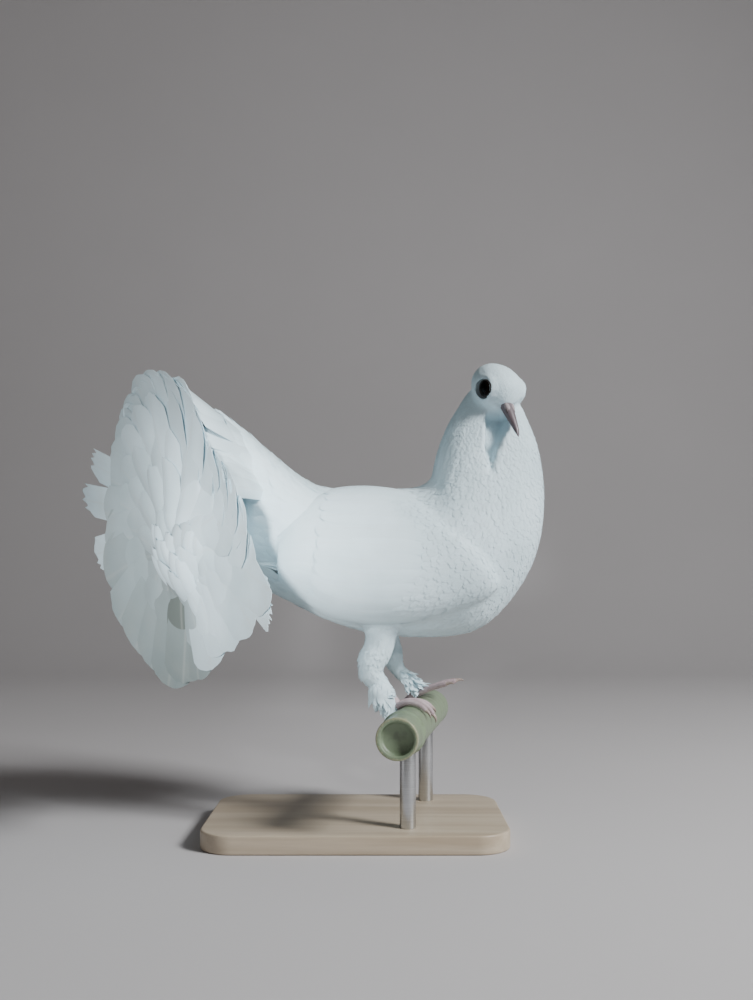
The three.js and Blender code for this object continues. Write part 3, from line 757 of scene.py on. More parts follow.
@dataclass
class WingForm:
    """The closed wing's outer surface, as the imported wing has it."""

    sections: tuple[tuple[float, Point, Point, float], ...] = (
        (61, (38, 79, 0), (36, 72, 0), 41),
        (52, (37, 94, 0), (32, 64, 0), 49),
        (36, (31, 113, 0), (30, 57, 0), 52.5),
        (12, (17, 133, 0), (28, 50.5, 0), 54),
        (-15, (11, 139, 0), (28, 48.5, 0), 54.5),
        (-42, (13, 137, 0), (30, 54, 0), 53.5),
        (-62, (25, 127, 0), (33, 66, 0), 51),
        (-76, (34, 108, 0), (37, 78, 0), 46.5),
    )
    fullness: float = 2.2

    def section(self, share: float) -> tuple[Vector, Vector, Vector]:
        """The middle, the up vector and the side vector at a share of the way from the wrist back.

        Args:
            share: The share of the way.

        Returns:
            The three vectors in layout millimetres.
        """
        rows = [(x, top[0], top[1], bottom[0], bottom[1], out) for x, top, bottom, out in self.sections]
        x, top_y, top_z, bottom_y, bottom_z, out = spline(rows, share)
        centre = Vector((x, (top_y + bottom_y) / 2, (top_z + bottom_z) / 2))
        up = Vector((0, (top_y - bottom_y) / 2, (top_z - bottom_z) / 2))
        return centre, up, Vector((0, out - centre.y, 0))

    def over(self, share: float, angle: float) -> tuple[Vector, Vector]:
        """A point of the surface and its outward normal; past the base it runs straight on.

        Args:
            share: The share of the way from the wrist back.
            angle: The angle round the section, from its top edge outward.

        Returns:
            The point and the normal.
        """
        centre, up, side = self.section(min(share, 1.0))
        at = centre + up * math.cos(angle) + side * math.sin(angle)
        if share > 1:
            before, _ = self.over(0.94, angle)
            at = at + (at - before) * ((share - 1) / 0.06)
        normal = up * (math.cos(angle) / up.length_squared) + side * (math.sin(angle) / side.length_squared)
        return at, normal.normalized()

    def core(self, bm: BMesh, side: Side, shrink: float, steps: int = 26, count: int = 28) -> None:
        """Adds the wing's rounded core, a little inside its feathers.

        Args:
            bm: The mesh that takes it, in layout millimetres.
            side: Which wing.
            shrink: How far inside the surface it lies.
            steps: Rings from the wrist back.
            count: Points in each ring.
        """
        rings = []
        for i in range(steps + 1):
            centre, up, out = self.section(i / steps)
            up.length -= shrink
            out.length -= shrink
            ring = oval(centre, up, out, count, self.fullness)
            rings.append([Vector((p.x, p.y * side.value, p.z)) for p in ring])
        bridge_rings(bm, rings)

    def covers(self, layout: np.ndarray, start: float) -> np.ndarray:
        """Which points, in layout millimetres, lie under a wing's vanes.

        Args:
            layout: The points.
            start: The share of the wing's length that the vanes start at.

        Returns:
            Whether each point does.
        """
        shares = np.linspace(0, 1, 41)
        rows = [self.section(share) for share in shares]
        middles = np.array([middle for middle, _, _ in rows])
        ups = np.array([up for _, up, _ in rows])
        outs = np.array([out for _, _, out in rows])
        order = np.argsort(middles[:, 0])
        found = np.zeros(len(layout), bool)
        x = layout[:, 0]
        share = np.interp(x, middles[order, 0], shares[order])
        inside_x = (x < middles[:, 0].max()) & (x > middles[:, 0].min() - 4)
        for side in Side:
            y = layout[:, 1] * side.value
            centre = np.stack([np.interp(share, shares, middles[:, k]) for k in (1, 2)], -1)
            up = np.stack([np.interp(share, shares, ups[:, k]) for k in (1, 2)], -1)
            out = np.interp(share, shares, outs[:, 1])
            dy, dz = y - centre[:, 0], layout[:, 2] - centre[:, 1]
            b = dz / up[:, 1]
            a = (dy - up[:, 0] * b) / out
            found |= inside_x & (share > start) & (a > 0.25) & (a**2 + b**2 > 0.55) & (np.abs(b) < 0.97)
        return found


WING = WingForm()


@dataclass
class Fan:
    """The tail's wheel: where its hub is, how it leans and how far its feathers reach."""

    hub: Point = (-136, -5, 116)
    swing: float = math.radians(36)
    lean: float = math.radians(8.4)
    cone: float = math.radians(8)
    reach: tuple[tuple[float, float], ...] = (
        (-178, 107), (-162, 113), (-146, 114), (-130, 114), (-118, 120), (-106, 114), (-90, 103), (-66, 95),
        (-34, 97), (0, 100), (22, 99), (34, 95), (44, 82), (54, 76), (64, 78), (76, 89), (88, 98), (98, 100),
        (104, 108), (109, 136), (116, 128), (124, 116), (134, 105), (146, 98), (158, 97), (176, 102),
    )

    @property
    def normal(self) -> Vector:
        """The direction that the wheel's upper side faces."""
        flat = math.cos(self.lean)
        return Vector((math.cos(self.swing) * flat, math.sin(self.swing) * flat, math.sin(self.lean)))

    @property
    def right(self) -> Vector:
        """Towards the bird's right in the wheel."""
        return Vector((math.sin(self.swing), -math.cos(self.swing), 0))

    @property
    def up(self) -> Vector:
        """Towards the top of the wheel."""
        return -self.normal.cross(self.right)

    def point(self, distance: float, angle: float, height: float = 0.0) -> Vector:
        """A point of the wheel from its distance, angle from the top and height in front of it.

        Args:
            distance: How far from the hub it is.
            angle: Its angle from the top towards the right.
            height: How far in front of the wheel it is.

        Returns:
            The point in layout millimetres.
        """
        flat = distance * math.cos(self.cone)
        return (
            Vector(self.hub)
            + self.up * (flat * math.cos(angle))
            + self.right * (flat * math.sin(angle))
            + self.normal * (height - distance * math.sin(self.cone))
        )

    def way(self, angle: float) -> Vector:
        """The direction from the hub at an angle from the top."""
        return (self.point(1, angle) - self.point(0, 0)).normalized()

    def reach_at(self, degrees: float) -> float:
        """How far a feather at this angle reaches."""
        angles, reaches = zip(*self.reach)
        return float(np.interp(degrees, angles, reaches))


FAN = Fan()


@dataclass
class Body:
    """The one skin under the plumage, and what the coat needs to know of its surface.

    Sizes are millimetres. The hips and the face are filled with ellipsoids, given by middle and half axes.
    """

    voxel: float = 1.2
    depth: float = 1.1
    core_inset: float = 1.2
    hip: Point = (-12, 23, 51)
    hip_size: Point = (12, 11, 9.5)
    cheek: Point = (11, 0, -4.8)
    cheek_size: Point = (5.4, 6.2, 5.6)
    # Height in front of the fan and radius, ring by ring.
    rump_rings: tuple[tuple[float, float], ...] = ((20, 30), (12, 34), (4, 34), (-4, 26), (-9, 14))
    # The hollow's heights, then its middle, its half width and its depth at each of them.
    throat_heights: tuple[float, ...] = (143, 152, 162, 174, 184)
    throat_rows: tuple[tuple[float, ...], ...] = (
        (56.2, 56.4, 57.4, 61.4, 63.0), (0.9, 1.6, 3.2, 6.2, 7.2), (0.5, 5.5, 10, 15, 15),
    )
    fold: tuple[tuple[float, float], ...] = ((55, 181), (42, 174))
    covered: tuple[str, ...] = ("torso", "neck", "head", "leg_right", "leg_left")

    def __post_init__(self) -> None:
        """Makes the skin."""
        self.mesh = self.build()
        self.read_surface()

    def build(self) -> Mesh:
        """Joins the flesh nodes with the cores that fill them out, and draws them in under the coat."""
        bm = bmesh.new()
        for node in self.covered:
            bm.from_mesh(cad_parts[node].data)
        bmesh.ops.remove_doubles(bm, verts=bm.verts, dist=0.00001)
        cores = bmesh.new()
        for side in Side:
            WING.core(cores, side, self.core_inset)
        self.rump(cores)
        self.face(cores)
        self.hips(cores)
        bm.from_mesh(to_mesh(cores, "cores"))
        mesh = bpy.data.meshes.new("flesh")
        bm.to_mesh(mesh)
        bm.free()
        solid = voxel_skin(mesh, self.voxel)
        bm = bmesh.new()
        bm.from_mesh(solid)
        relax(bm, 4)
        bm.normal_update()
        for vertex in bm.verts:
            vertex.co -= vertex.normal * self.depth_at(vertex.co) * MM
        relax(bm, 2)
        bm.normal_update()
        self.throat(bm)
        self.lores(bm)
        relax(bm, 2)
        self.open_eyes(bm)
        bm.to_mesh(solid)
        bm.free()
        return solid

    def rump(self, bm: BMesh) -> None:
        """Adds the tail's fleshy root, which the fan's feathers grow from.

        Args:
            bm: The mesh that takes it, in layout millimetres.
        """
        turns = [math.tau * j / 32 for j in range(32)]
        rings = [[FAN.point(radius, turn, high) for turn in turns] for high, radius in self.rump_rings]
        bridge_rings(bm, rings)

    def hips(self, bm: BMesh) -> None:
        """Fills the body out where the legs leave it.

        Args:
            bm: The mesh that takes it, in layout millimetres.
        """
        x, y, z = self.hip
        for side in Side:
            add_ball(bm, Matrix.Translation((x, y * side.value, z)) @ Matrix.Diagonal((*self.hip_size, 1)))

    def depth_at(self, place: Vector) -> float:
        """The coat's depth at a point in metres: shallow on the head and legs.

        Args:
            place: The point.

        Returns:
            The depth in millimetres.
        """
        layout = FRAME.to_layout(place)
        near_head = 1 - smoothstep(16, 34, (layout - Vector(HEAD.at)).length)
        low = 1 - smoothstep(22, 42, layout.z)
        return self.depth * (1 - 0.55 * max(near_head, low * 0.7))

    def face(self, bm: BMesh) -> None:
        """Fills the face behind the bill, so that the feathers reach its base."""
        add_ball(bm, HEAD.matrix @ Matrix.Translation(self.cheek) @ Matrix.Diagonal((*self.cheek_size, 1)))

    def throat(self, bm: BMesh) -> None:
        """Sinks the narrow hollow below the bill and the fold that runs from it under the cheek.

        Args:
            bm: The skin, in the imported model's metres.
        """
        first, last = (Vector((x, 0, z)) for x, z in self.fold)
        along = (last - first).normalized()
        low = self.throat_heights[0]
        for vertex in bm.verts:
            spot = FRAME.to_layout(vertex.co)
            if spot.y > -6 or not 140 < spot.z < 192:
                continue
            sizes = [float(np.interp(spot.z, self.throat_heights, row)) for row in self.throat_rows]
            middle, wide, depth = sizes
            off = (spot.x - middle) / wide
            wall = 1 - smoothstep(0.6, 1.25, off) if off > 0 else 1 - smoothstep(0.85, 1.1, -off)
            ends = smoothstep(low - 2, low + 6, spot.z) * (1 - smoothstep(181, 187, spot.z))
            deep = depth * wall * ends
            flat = Vector((spot.x, 0, spot.z)) - first
            gone = min(max(flat.dot(along), 0), (last - first).length)
            deep += 1.7 * math.exp(-(((flat - along * gone).length / 2.2) ** 2)) * (1 - gone / 18)
            vertex.co.y += deep * MM
            vertex.co.x -= 3.2 * MM * min(1.0, deep / 10) * smoothstep(0.3, 0.9, -off)

    def lores(self, bm: BMesh) -> None:
        """Sinks the shallow channel from each eye to the corner of the mouth.

        Args:
            bm: The skin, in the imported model's metres.
        """
        for side in Side:
            first = FRAME.to_metres(HEAD.point(8.5, side.value * 9.5, -2.2))
            last = FRAME.to_metres(HEAD.point(15.0, side.value * 4.6, -5.0))
            along = (last - first).normalized()
            for vertex in bm.verts:
                gone = min(max((vertex.co - first).dot(along), 0), (last - first).length)
                away = (vertex.co - first - along * gone).length / MM
                if away < 8:
                    vertex.co -= vertex.normal * 1.2 * MM * math.exp(-((away / 2.4) ** 2))

    def open_eyes(self, bm: BMesh) -> None:
        """Brings the skin softly to the height of the lids and keeps it clear of the eyeballs.

        Args:
            bm: The skin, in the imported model's metres.
        """
        room = (Eye.radius + 0.2) * MM
        for side in Side:
            eye, axis = FRAME.to_metres(Eye(side).middle), Eye(side).axis
            for vertex in bm.verts:
                away = vertex.co - eye
                height = away.dot(axis)
                flat = (away - axis * height).length / MM
                if height > 0 and flat < 10:
                    share = 1 - smoothstep(Eye.clear, 10, flat)
                    vertex.co += axis * ((Eye.brow * MM - height) * share)
                    away = vertex.co - eye
                if away.length < room:
                    vertex.co = eye + away.normalized() * room

    def read_surface(self) -> None:
        """Unwraps the skin and keeps its triangles, normals, unwrap and search tree."""
        skin = link("skin_unwrap", self.mesh)
        bpy.context.view_layer.objects.active = skin
        skin.select_set(True)
        bpy.ops.object.mode_set(mode="EDIT")
        bpy.ops.mesh.select_all(action="SELECT")
        bpy.ops.uv.smart_project(angle_limit=math.radians(66), island_margin=0.004)
        bpy.ops.object.mode_set(mode="OBJECT")
        self.mesh.uv_layers[0].name = "OFBake"
        self.mesh.calc_loop_triangles()
        count = len(self.mesh.loop_triangles)
        self.triangles = np.empty(count * 3, np.int32)
        self.mesh.loop_triangles.foreach_get("vertices", self.triangles)
        self.triangles = self.triangles.reshape(-1, 3)
        loops = np.empty(count * 3, np.int32)
        self.mesh.loop_triangles.foreach_get("loops", loops)
        uv = np.empty(len(self.mesh.loops) * 2, np.float32)
        self.mesh.uv_layers["OFBake"].data.foreach_get("uv", uv)
        self.unwrap = uv.reshape(-1, 2)[loops].reshape(-1, 3, 2)
        self.points = np.empty(len(self.mesh.vertices) * 3, np.float32)
        self.mesh.vertices.foreach_get("co", self.points)
        self.points = self.points.reshape(-1, 3)
        normals = np.empty(len(self.mesh.vertices) * 3, np.float32)
        self.mesh.vertex_normals.foreach_get("vector", normals)
        self.normals = normals.reshape(-1, 3)
        self.tree = BVHTree.FromPolygons([Vector(p) for p in self.points], self.triangles.tolist())
        bpy.data.objects.remove(skin)

    def nearest(self, point: Vector) -> tuple[Vector, float]:
        """The skin's nearest point to a point, both in layout millimetres, and the distance to it."""
        hit, _, _, away = self.tree.find_nearest(FRAME.to_metres(point))
        return FRAME.to_layout(hit), away / MM

    def settle(
        self, places: np.ndarray, faces: np.ndarray | None = None
    ) -> tuple[np.ndarray, np.ndarray, np.ndarray]:
        """Drops points onto the skin.

        Args:
            places: The points in metres.
            faces: The skin triangle of each point, where they are known.

        Returns:
            The points on the skin, the smooth normals there and the weights of the triangle's corners.
        """
        if faces is None:
            found = [self.tree.find_nearest(place) for place in places]
            spots = np.array([hit[0] for hit in found])
            faces = np.array([hit[2] for hit in found])
        else:
            spots = places
        corners = self.triangles[faces]
        a, b, c = (self.points[corners[:, k]].astype(float) for k in range(3))
        ab, ac, ap = b - a, c - a, spots - a
        d00, d01, d11 = (ab * ab).sum(1), (ab * ac).sum(1), (ac * ac).sum(1)
        d20, d21 = (ap * ab).sum(1), (ap * ac).sum(1)
        scale = np.maximum(d00 * d11 - d01 * d01, 1e-24)
        v = (d11 * d20 - d01 * d21) / scale
        w = (d00 * d21 - d01 * d20) / scale
        weights = np.clip(np.stack([1 - v - w, v, w], -1), 0, 1)
        weights /= weights.sum(1)[:, None]
        normals = unit((self.normals[corners] * weights[..., None]).sum(1))
        return spots, normals, weights

    def show(self, material: Material) -> None:
        """Adds the skin as a piece."""
        add_piece("body_skin", self.mesh, material, self.covered)


@dataclass
class Eye:
    """An eyeball with its dark iris, and the bare lids round it."""

    side: Side
    radius: float = 6.2
    forward: float = 4.4
    out: float = 11.1
    up: float = 0.6
    opening: float = 0.9
    clear: float = 5.2
    brow: float = 3.6
    lid: float = 0.38
    lid_steps: int = 64

    @property
    def middle(self) -> Vector:
        """The eyeball's middle in layout millimetres."""
        return HEAD.point(self.forward, self.side.value * self.out, self.up)

    @property
    def axis(self) -> Vector:
        """The direction that it looks in."""
        return (self.pose.to_3x3() @ UP).normalized()

    @property
    def pose(self) -> Matrix:
        """From the eye's own axes, looking along its Z, to the layout."""
        outward = Vector((0.1, self.side.value, 0.0)).normalized()
        turn = outward.to_track_quat("Z", "Y").to_matrix().to_4x4()
        return HEAD.matrix @ Matrix.Translation((self.forward, self.side.value * self.out, self.up)) @ turn

    def ball(self, material: Material) -> None:
        """Adds the eyeball with its slightly fuller cornea.

        Args:
            material: The wet eye.
        """
        bm = bmesh.new()
        bmesh.ops.create_uvsphere(bm, u_segments=48, v_segments=32, radius=self.radius)
        layer = bm.verts.layers.float.new("iris")
        for vertex in bm.verts:
            away = math.acos(max(-1, min(1, vertex.co.z / self.radius)))
            vertex[layer] = min(1.0, away / 1.25)
            vertex.co *= 1 + 0.035 * max(0.0, 1 - away / 0.9)
        bmesh.ops.transform(bm, matrix=self.pose, verts=bm.verts)
        word = self.side.word
        add_piece(f"eyeball_{word}", to_mesh(bm, "eyeball"), material, [f"eye_{word}"])

    def lids(self, material: Material) -> None:
        """Adds the lid ring: a soft double roll, fuller above than below.

        Args:
            material: The bare lid skin.
        """
        bm = bmesh.new()
        rings = []
        for i in range(self.lid_steps):
            angle = math.tau * i / self.lid_steps
            full = self.lid + 0.06 * math.cos(angle)
            reach = self.opening + 0.03 * math.sin(2 * angle) - 0.05 * math.cos(angle)
            outward = Vector((math.sin(angle), math.cos(angle), 0))
            middle = (outward * math.sin(reach) + Vector((0, 0, math.cos(reach)))) * (self.radius + 0.1)
            along = outward * math.cos(reach) - Vector((0, 0, math.sin(reach)))
            away = middle.normalized()
            rings.append(oval(middle + along * 0.3, away * full * 0.8, along * full * 1.5, 12))
        made = bridge_rings(bm, rings, capped=False)
        ends = [edge for vertex in made[0] + made[-1] for edge in vertex.link_edges if edge.is_boundary]
        bmesh.ops.bridge_loops(bm, edges=list(set(ends)))
        bmesh.ops.transform(bm, matrix=self.pose, verts=bm.verts)
        add_piece(f"eyelids_{self.side.word}", to_mesh(bm, "lids"), material)


@dataclass
class FeatherSet:
    """Feathers of one grid size, gathered as arrays into one mesh.

    Rows run from root to tip and columns from edge to edge. A set with a lower face has thin plates, and one
    without has closed lenses whose middle column stands proud.
    """

    upper: np.ndarray
    lower: np.ndarray | None
    tint: np.ndarray
    bake: np.ndarray
    slender: np.ndarray
    normals: np.ndarray | None = None

    def pick(self, keep: np.ndarray) -> "FeatherSet":
        """The closed feathers that are marked, as a set of their own.

        Args:
            keep: Whether each feather is kept.

        Returns:
            The smaller set.
        """
        return FeatherSet(
            self.upper[keep], None, self.tint[keep], self.bake[keep], self.slender[keep], self.normals[keep]
        )

    @staticmethod
    def cells(grid: np.ndarray) -> np.ndarray:
        """The quads between the rows and columns of a grid of indices."""
        return np.stack([grid[:-1, :-1], grid[:-1, 1:], grid[1:, 1:], grid[1:, :-1]], -1).reshape(-1, 4)

    @staticmethod
    def plate_faces(rows: int, columns: int) -> tuple[np.ndarray, np.ndarray]:
        """The quads and triangles of one thin plate.

        Args:
            rows: Points from root to tip.
            columns: Points from edge to edge.

        Returns:
            The corners of the quads and of the triangles, as vertex numbers.
        """
        layer = rows * columns
        grid = np.arange(layer).reshape(rows, columns)
        top = FeatherSet.cells(grid)
        rim = np.concatenate([grid[0, :-1], grid[:-1, -1], grid[-1, :0:-1], grid[:0:-1, 0]])
        after = np.roll(rim, -1)
        edge = np.stack([after, rim, rim + layer, after + layer], -1)
        return np.concatenate([top, top[:, ::-1] + layer, edge]), np.empty((0, 3), int)

    @staticmethod
    def lens_faces(rows: int, columns: int) -> tuple[np.ndarray, np.ndarray]:
        """The quads and triangles of one lens of three columns.

        Args:
            rows: Points from root to tip.
            columns: Points from edge to edge.

        Returns:
            The corners of the quads and of the triangles, as vertex numbers.
        """
        grid = np.arange(rows * columns).reshape(rows, columns)
        under = np.stack([grid[:-1, 0], grid[1:, 0], grid[1:, -1], grid[:-1, -1]], -1)
        return np.concatenate([FeatherSet.cells(grid), under]), np.array([grid[0, ::-1], grid[-1]])

    def mesh(self, name: str) -> Mesh:
        """Writes the feathers as one mesh with its maps.

        Args:
            name: The mesh's name.

        Returns:
            The mesh, with the maps Vane and OFBake and the attribute tint.
        """
        count, rows, columns = self.upper.shape[:3]
        layer = rows * columns
        sheets = [self.upper] if self.lower is None else [self.upper, self.lower]
        points = np.concatenate([sheet.reshape(count, layer, 3) for sheet in sheets], axis=1)
        size = points.shape[1]
        quads, triangles = (self.lens_faces if self.lower is None else self.plate_faces)(rows, columns)
        shift = (np.arange(count) * size)[:, None, None]
        corners = np.concatenate([(quads + shift).reshape(-1), (triangles + shift).reshape(-1)])
        totals = np.concatenate([np.full(count * len(quads), 4), np.full(count * len(triangles), 3)])
        mesh = bpy.data.meshes.new(name)
        mesh.vertices.add(count * size)
        mesh.vertices.foreach_set("co", points.reshape(-1))
        mesh.loops.add(len(corners))
        mesh.loops.foreach_set("vertex_index", corners)
        mesh.polygons.add(len(totals))
        mesh.polygons.foreach_set("loop_start", np.concatenate([[0], np.cumsum(totals)[:-1]]))
        mesh.polygons.foreach_set("use_smooth", np.ones(len(totals), bool))
        mesh.update(calc_edges=True)
        across, along = np.meshgrid(np.linspace(0, 1, columns), np.linspace(0, 1, rows))
        vane = np.broadcast_to(np.stack([across, along], -1).reshape(1, layer, 2), (count, layer, 2)).copy()
        vane[..., 1] *= self.slender[:, None]
        for label, values in (("Vane", vane), ("OFBake", self.bake.reshape(count, layer, 2))):
            self.map(mesh, label, np.tile(values, (1, len(sheets), 1)).reshape(-1, 2), corners)
        tint = mesh.attributes.new("tint", "FLOAT", "POINT")
        tint.data.foreach_set("value", np.repeat(self.tint, size))
        if self.normals is not None:
            facing = self.normals.reshape(count, layer, 3)
            split = (rows - 1) * (columns - 1)
            level = facing[:, quads]
            level[:, split:] *= -1
            ends = np.zeros((count, len(triangles), 3, 3))
            mesh.normals_split_custom_set(np.concatenate([level.reshape(-1, 3), ends.reshape(-1, 3)]))
        return mesh

    @staticmethod
    def map(mesh: Mesh, name: str, values: np.ndarray, corners: np.ndarray) -> None:
        """Adds a UV map from values at the vertices."""
        layer = mesh.uv_layers.new(name=name)
        layer.data.foreach_set("uv", values[corners].reshape(-1).astype(np.float32))


class Plume:
    """A tier of large feathers, each laid by a function of its own, made as one mesh."""

    def __init__(self, name: str, rows: int, columns: int) -> None:
        """Starts an empty tier.

        Args:
            name: The piece's name.
            rows: Points from root to tip.
            columns: Points from edge to edge.
        """
        self.name = name
        self.rows = rows
        self.columns = columns
        self.uppers: list[np.ndarray] = []
        self.lowers: list[np.ndarray] = []
        self.tints: list[float] = []
        self.slender: list[float] = []

    def add(self, place: Place, thick: float, tint: float) -> None:
        """Lays one feather.

        Args:
            place: Gives a point and the normal, in layout millimetres, from the share of the length and the
                place across from -1 to 1.
            thick: The plate's thickness at its root in millimetres.
            tint: How dull it is, from 0 to 1.
        """
        upper = np.empty((self.rows, self.columns, 3))
        lower = np.empty((self.rows, self.columns, 3))
        for i in range(self.rows):
            share = i / (self.rows - 1)
            for j in range(self.columns):
                v = 2 * j / (self.columns - 1) - 1
                at, normal = place(share, v)
                half = thick * 0.5 * (1 - 0.55 * share) * (1 - 0.45 * abs(v))
                upper[i, j] = FRAME.to_metres(at + normal * half)
                lower[i, j] = FRAME.to_metres(at - normal * half)
        across = upper[0, -1] - upper[0, 0]
        along = upper[1, self.columns // 2] - upper[0, self.columns // 2]
        if np.dot(np.cross(across, along), upper[0, 0] - lower[0, 0]) < 0:
            upper, lower = upper[:, ::-1], lower[:, ::-1]
        length = np.linalg.norm(upper[-1, self.columns // 2] - upper[0, self.columns // 2])
        width = np.linalg.norm(upper[self.rows // 2, -1] - upper[self.rows // 2, 0])
        self.uppers.append(upper)
        self.lowers.append(lower)
        self.tints.append(tint)
        self.slender.append(length / max(width, 1e-6))

    def show(self, material: Material, nodes: Sequence[str] = ()) -> None:
        """Adds the tier as a piece.

        Args:
            material: The feathers' material.
            nodes: CAD nodes that it stands for.
        """
        count = len(self.uppers)
        cells = math.ceil(math.sqrt(count))
        across, along = np.meshgrid(np.linspace(0.04, 0.96, self.columns), np.linspace(0.04, 0.96, self.rows))
        cell = np.stack([across, along], -1)
        bake = np.stack([(cell + (k % cells, k // cells)) / cells for k in range(count)])
        feathers = FeatherSet(
            np.stack(self.uppers), np.stack(self.lowers), np.array(self.tints), bake, np.array(self.slender)
        )
        piece = add_piece(self.name, feathers.mesh(self.name), material, nodes)
        piece.data.set_sharp_from_angle(angle=math.radians(50))


@dataclass
class Coat:
    """The small body feathers: closed tufts in tiers over the skin, following its lie."""

    body: Body
    trunk: Trunk = field(default_factory=Trunk)
    rows: int = 6
    patch: float = 0.003
    seed: int = 11
    # Share of the way from the tail root to the head, with the feathers' length and lift there.
    stops: tuple[float, ...] = (0.0, 0.15, 0.3, 0.45, 0.6, 0.75, 0.87, 0.93, 1.0)
    lengths: tuple[float, ...] = (18, 17, 15, 13, 11, 8.6, 6.2, 4.6, 3.9)
    lifts: tuple[float, ...] = (1.0, 0.85, 0.62, 0.5, 0.48, 0.46, 0.44, 0.4, 0.38)
    packing: float = 0.165
    slender: float = 0.25
    outline: tuple[float, ...] = (0.5, 0.82, 1.0, 0.98, 0.78, 0.3)
    # The pieces above the legs, each with the shares of the way that it starts and ends at.
    regions: tuple[tuple[str, float, float], ...] = (
        ("coat_head", 0.9, 2.0), ("coat_neck", 0.62, 0.9), ("coat_breast", 0.36, 0.62),
        ("coat_back", 0.12, 0.36), ("coat_rump", -1.0, 0.12),
    )

    def __post_init__(self) -> None:
        """Lays out the lines that the feathers follow."""
        self.random = np.random.default_rng(self.seed)
        self.spots, self.ways = self.trunk.samples()
        limbs = [Leg(side).samples() for side in Side]
        self.limb_spots = np.concatenate([spots for spots, _ in limbs])
        self.limb_ways = np.concatenate([ways for _, ways in limbs])
        self.bill = np.array(FRAME.to_metres(HEAD.point(15.5, 0, -4.6)))
        self.skull = np.array(FRAME.to_metres(Vector(HEAD.at)))
        self.eyes = [np.array(FRAME.to_metres(Eye(side).middle)) for side in Side]

    def share(self, points: np.ndarray) -> np.ndarray:
        """How far along the trunk each point lies, from 0 at the tail to 1 at the head.

        Args:
            points: The points in metres.

        Returns:
            Each point's share of the way.
        """
        gaps = ((points[:, None] - self.spots[None]) ** 2).sum(-1)
        weights = 1 / (gaps + 1e-8) ** 3
        places = np.linspace(0, 1, len(self.spots))
        along = (weights * places).sum(1) / weights.sum(1)
        near = np.linalg.norm(points - self.skull, axis=1) / MM
        return np.where(near < 26, np.maximum(along, np.interp(near, (17, 26), (1.0, 0.9))), along)

    def limb(self, points: np.ndarray) -> np.ndarray:
        """How much each point belongs to a leg, from 0 to 1.

        Args:
            points: The points in metres.

        Returns:
            Each point's share.
        """
        gaps = np.sqrt(((points[:, None] - self.limb_spots[None]) ** 2).sum(-1).min(1)) / MM
        low = 46 - (points[:, 2] - FRAME.origin.z) / MM
        return np.clip(low / 8, 0, 1) * np.clip((20 - gaps) / 6, 0, 1)

    @staticmethod
    def blend(points: np.ndarray, spots: np.ndarray, ways: np.ndarray) -> np.ndarray:
        """The direction at each point, blended from the directions at the spots near it.

        Args:
            points: The points in metres.
            spots: The spots in metres.
            ways: The direction at each spot.

        Returns:
            The directions, which aren't scaled to length one.
        """
        gaps = ((points[:, None] - spots[None]) ** 2).sum(-1)
        weights = 1 / (gaps + 1e-6) ** 2
        return (weights[..., None] * ways).sum(1) / weights.sum(1)[:, None]

    def flow(self, points: np.ndarray, normals: np.ndarray) -> np.ndarray:
        """The direction in which the feathers lie at each point of the skin.

        Args:
            points: The points in metres.
            normals: The skin's normals there.

        Returns:
            Directions of length one, level with the skin.
        """
        way = self.blend(points, self.spots, self.ways)
        radial = unit(points - self.bill)
        near = np.clip((34 - np.linalg.norm(points - self.skull, axis=1) / MM) / 16, 0, 1)[:, None]
        way = way * (1 - near) + radial * near
        down = self.blend(points, self.limb_spots, self.limb_ways)
        on_leg = self.limb(points)[:, None]
        way = unit(way) * (1 - on_leg) + down * on_leg
        way -= normals * (way * normals).sum(1)[:, None]
        return unit(way)

    def wanted(self, points: np.ndarray) -> np.ndarray:
        """Which roots are kept: none under the wing's vanes, on the eyes, in the bill or on the foot.

        Args:
            points: The points in metres.

        Returns:
            Whether each root is kept.
        """
        layout = (points - np.array(FRAME.origin)) / MM
        keep = layout[:, 2] > 6
        for eye in self.eyes:
            keep &= np.linalg.norm(points - eye, axis=1) > (Eye.radius + 0.9) * MM
        head = np.array(HEAD.matrix.inverted())
        local = layout @ head[:3, :3].T + head[:3, 3]
        level = (local[:, 2] < -1.2) & (local[:, 2] > -8.8)
        keep &= ~((local[:, 0] > 15.2) & (np.abs(local[:, 1]) < 3.6) & level)
        return keep & ~WING.covers(layout, 0.52)

    def grow(self) -> FeatherSet:
        """Grows every tuft.

        Returns:
            The tufts as arrays. `self.where` and `self.limbs` then say where each one grows.
        """
        roots, faces = self.scatter()
        where = self.share(roots)
        limb = self.limb(roots)
        length = np.interp(where, self.stops, self.lengths)
        length = length * (1 - limb) + 8.5 * limb
        lift = np.interp(where, self.stops, self.lifts) * (1 + 1.5 * limb)
        eye = np.min([np.linalg.norm(roots - spot, axis=1) for spot in self.eyes], axis=0) / MM
        length *= np.interp(eye, (7.0, 11.0), (0.55, 1.0))
        count = len(roots)
        rough = 1 + self.random.uniform(-0.16, 0.16, count) * (1 + 1.2 * limb)
        length *= rough
        lift *= 1 + self.random.uniform(-0.3, 0.3, count)
        half = length * self.slender * (1 - 0.25 * limb) * self.random.uniform(0.9, 1.12, count)
        swerve = self.random.normal(0, 0.07 + 0.16 * limb, count)
        at, normal, _ = self.body.settle(roots)
        upper = np.empty((count, self.rows, 3, 3))
        shade = np.empty((count, self.rows, 3, 3))
        sound = np.ones(count, bool)
        step = (length * MM / (self.rows - 1))[:, None]
        for i in range(self.rows):
            share = i / (self.rows - 1)
            way = self.flow(at, normal)
            across = unit(np.cross(way, normal))
            way = unit(way + across * swerve[:, None])
            across = unit(np.cross(way, normal))
            width = (half * self.outline[i] * MM)[:, None]
            rise = (lift * (share**1.1) - 0.2 * (1 - share))[:, None] * MM
            for j, v in enumerate((-1, 0, 1)):
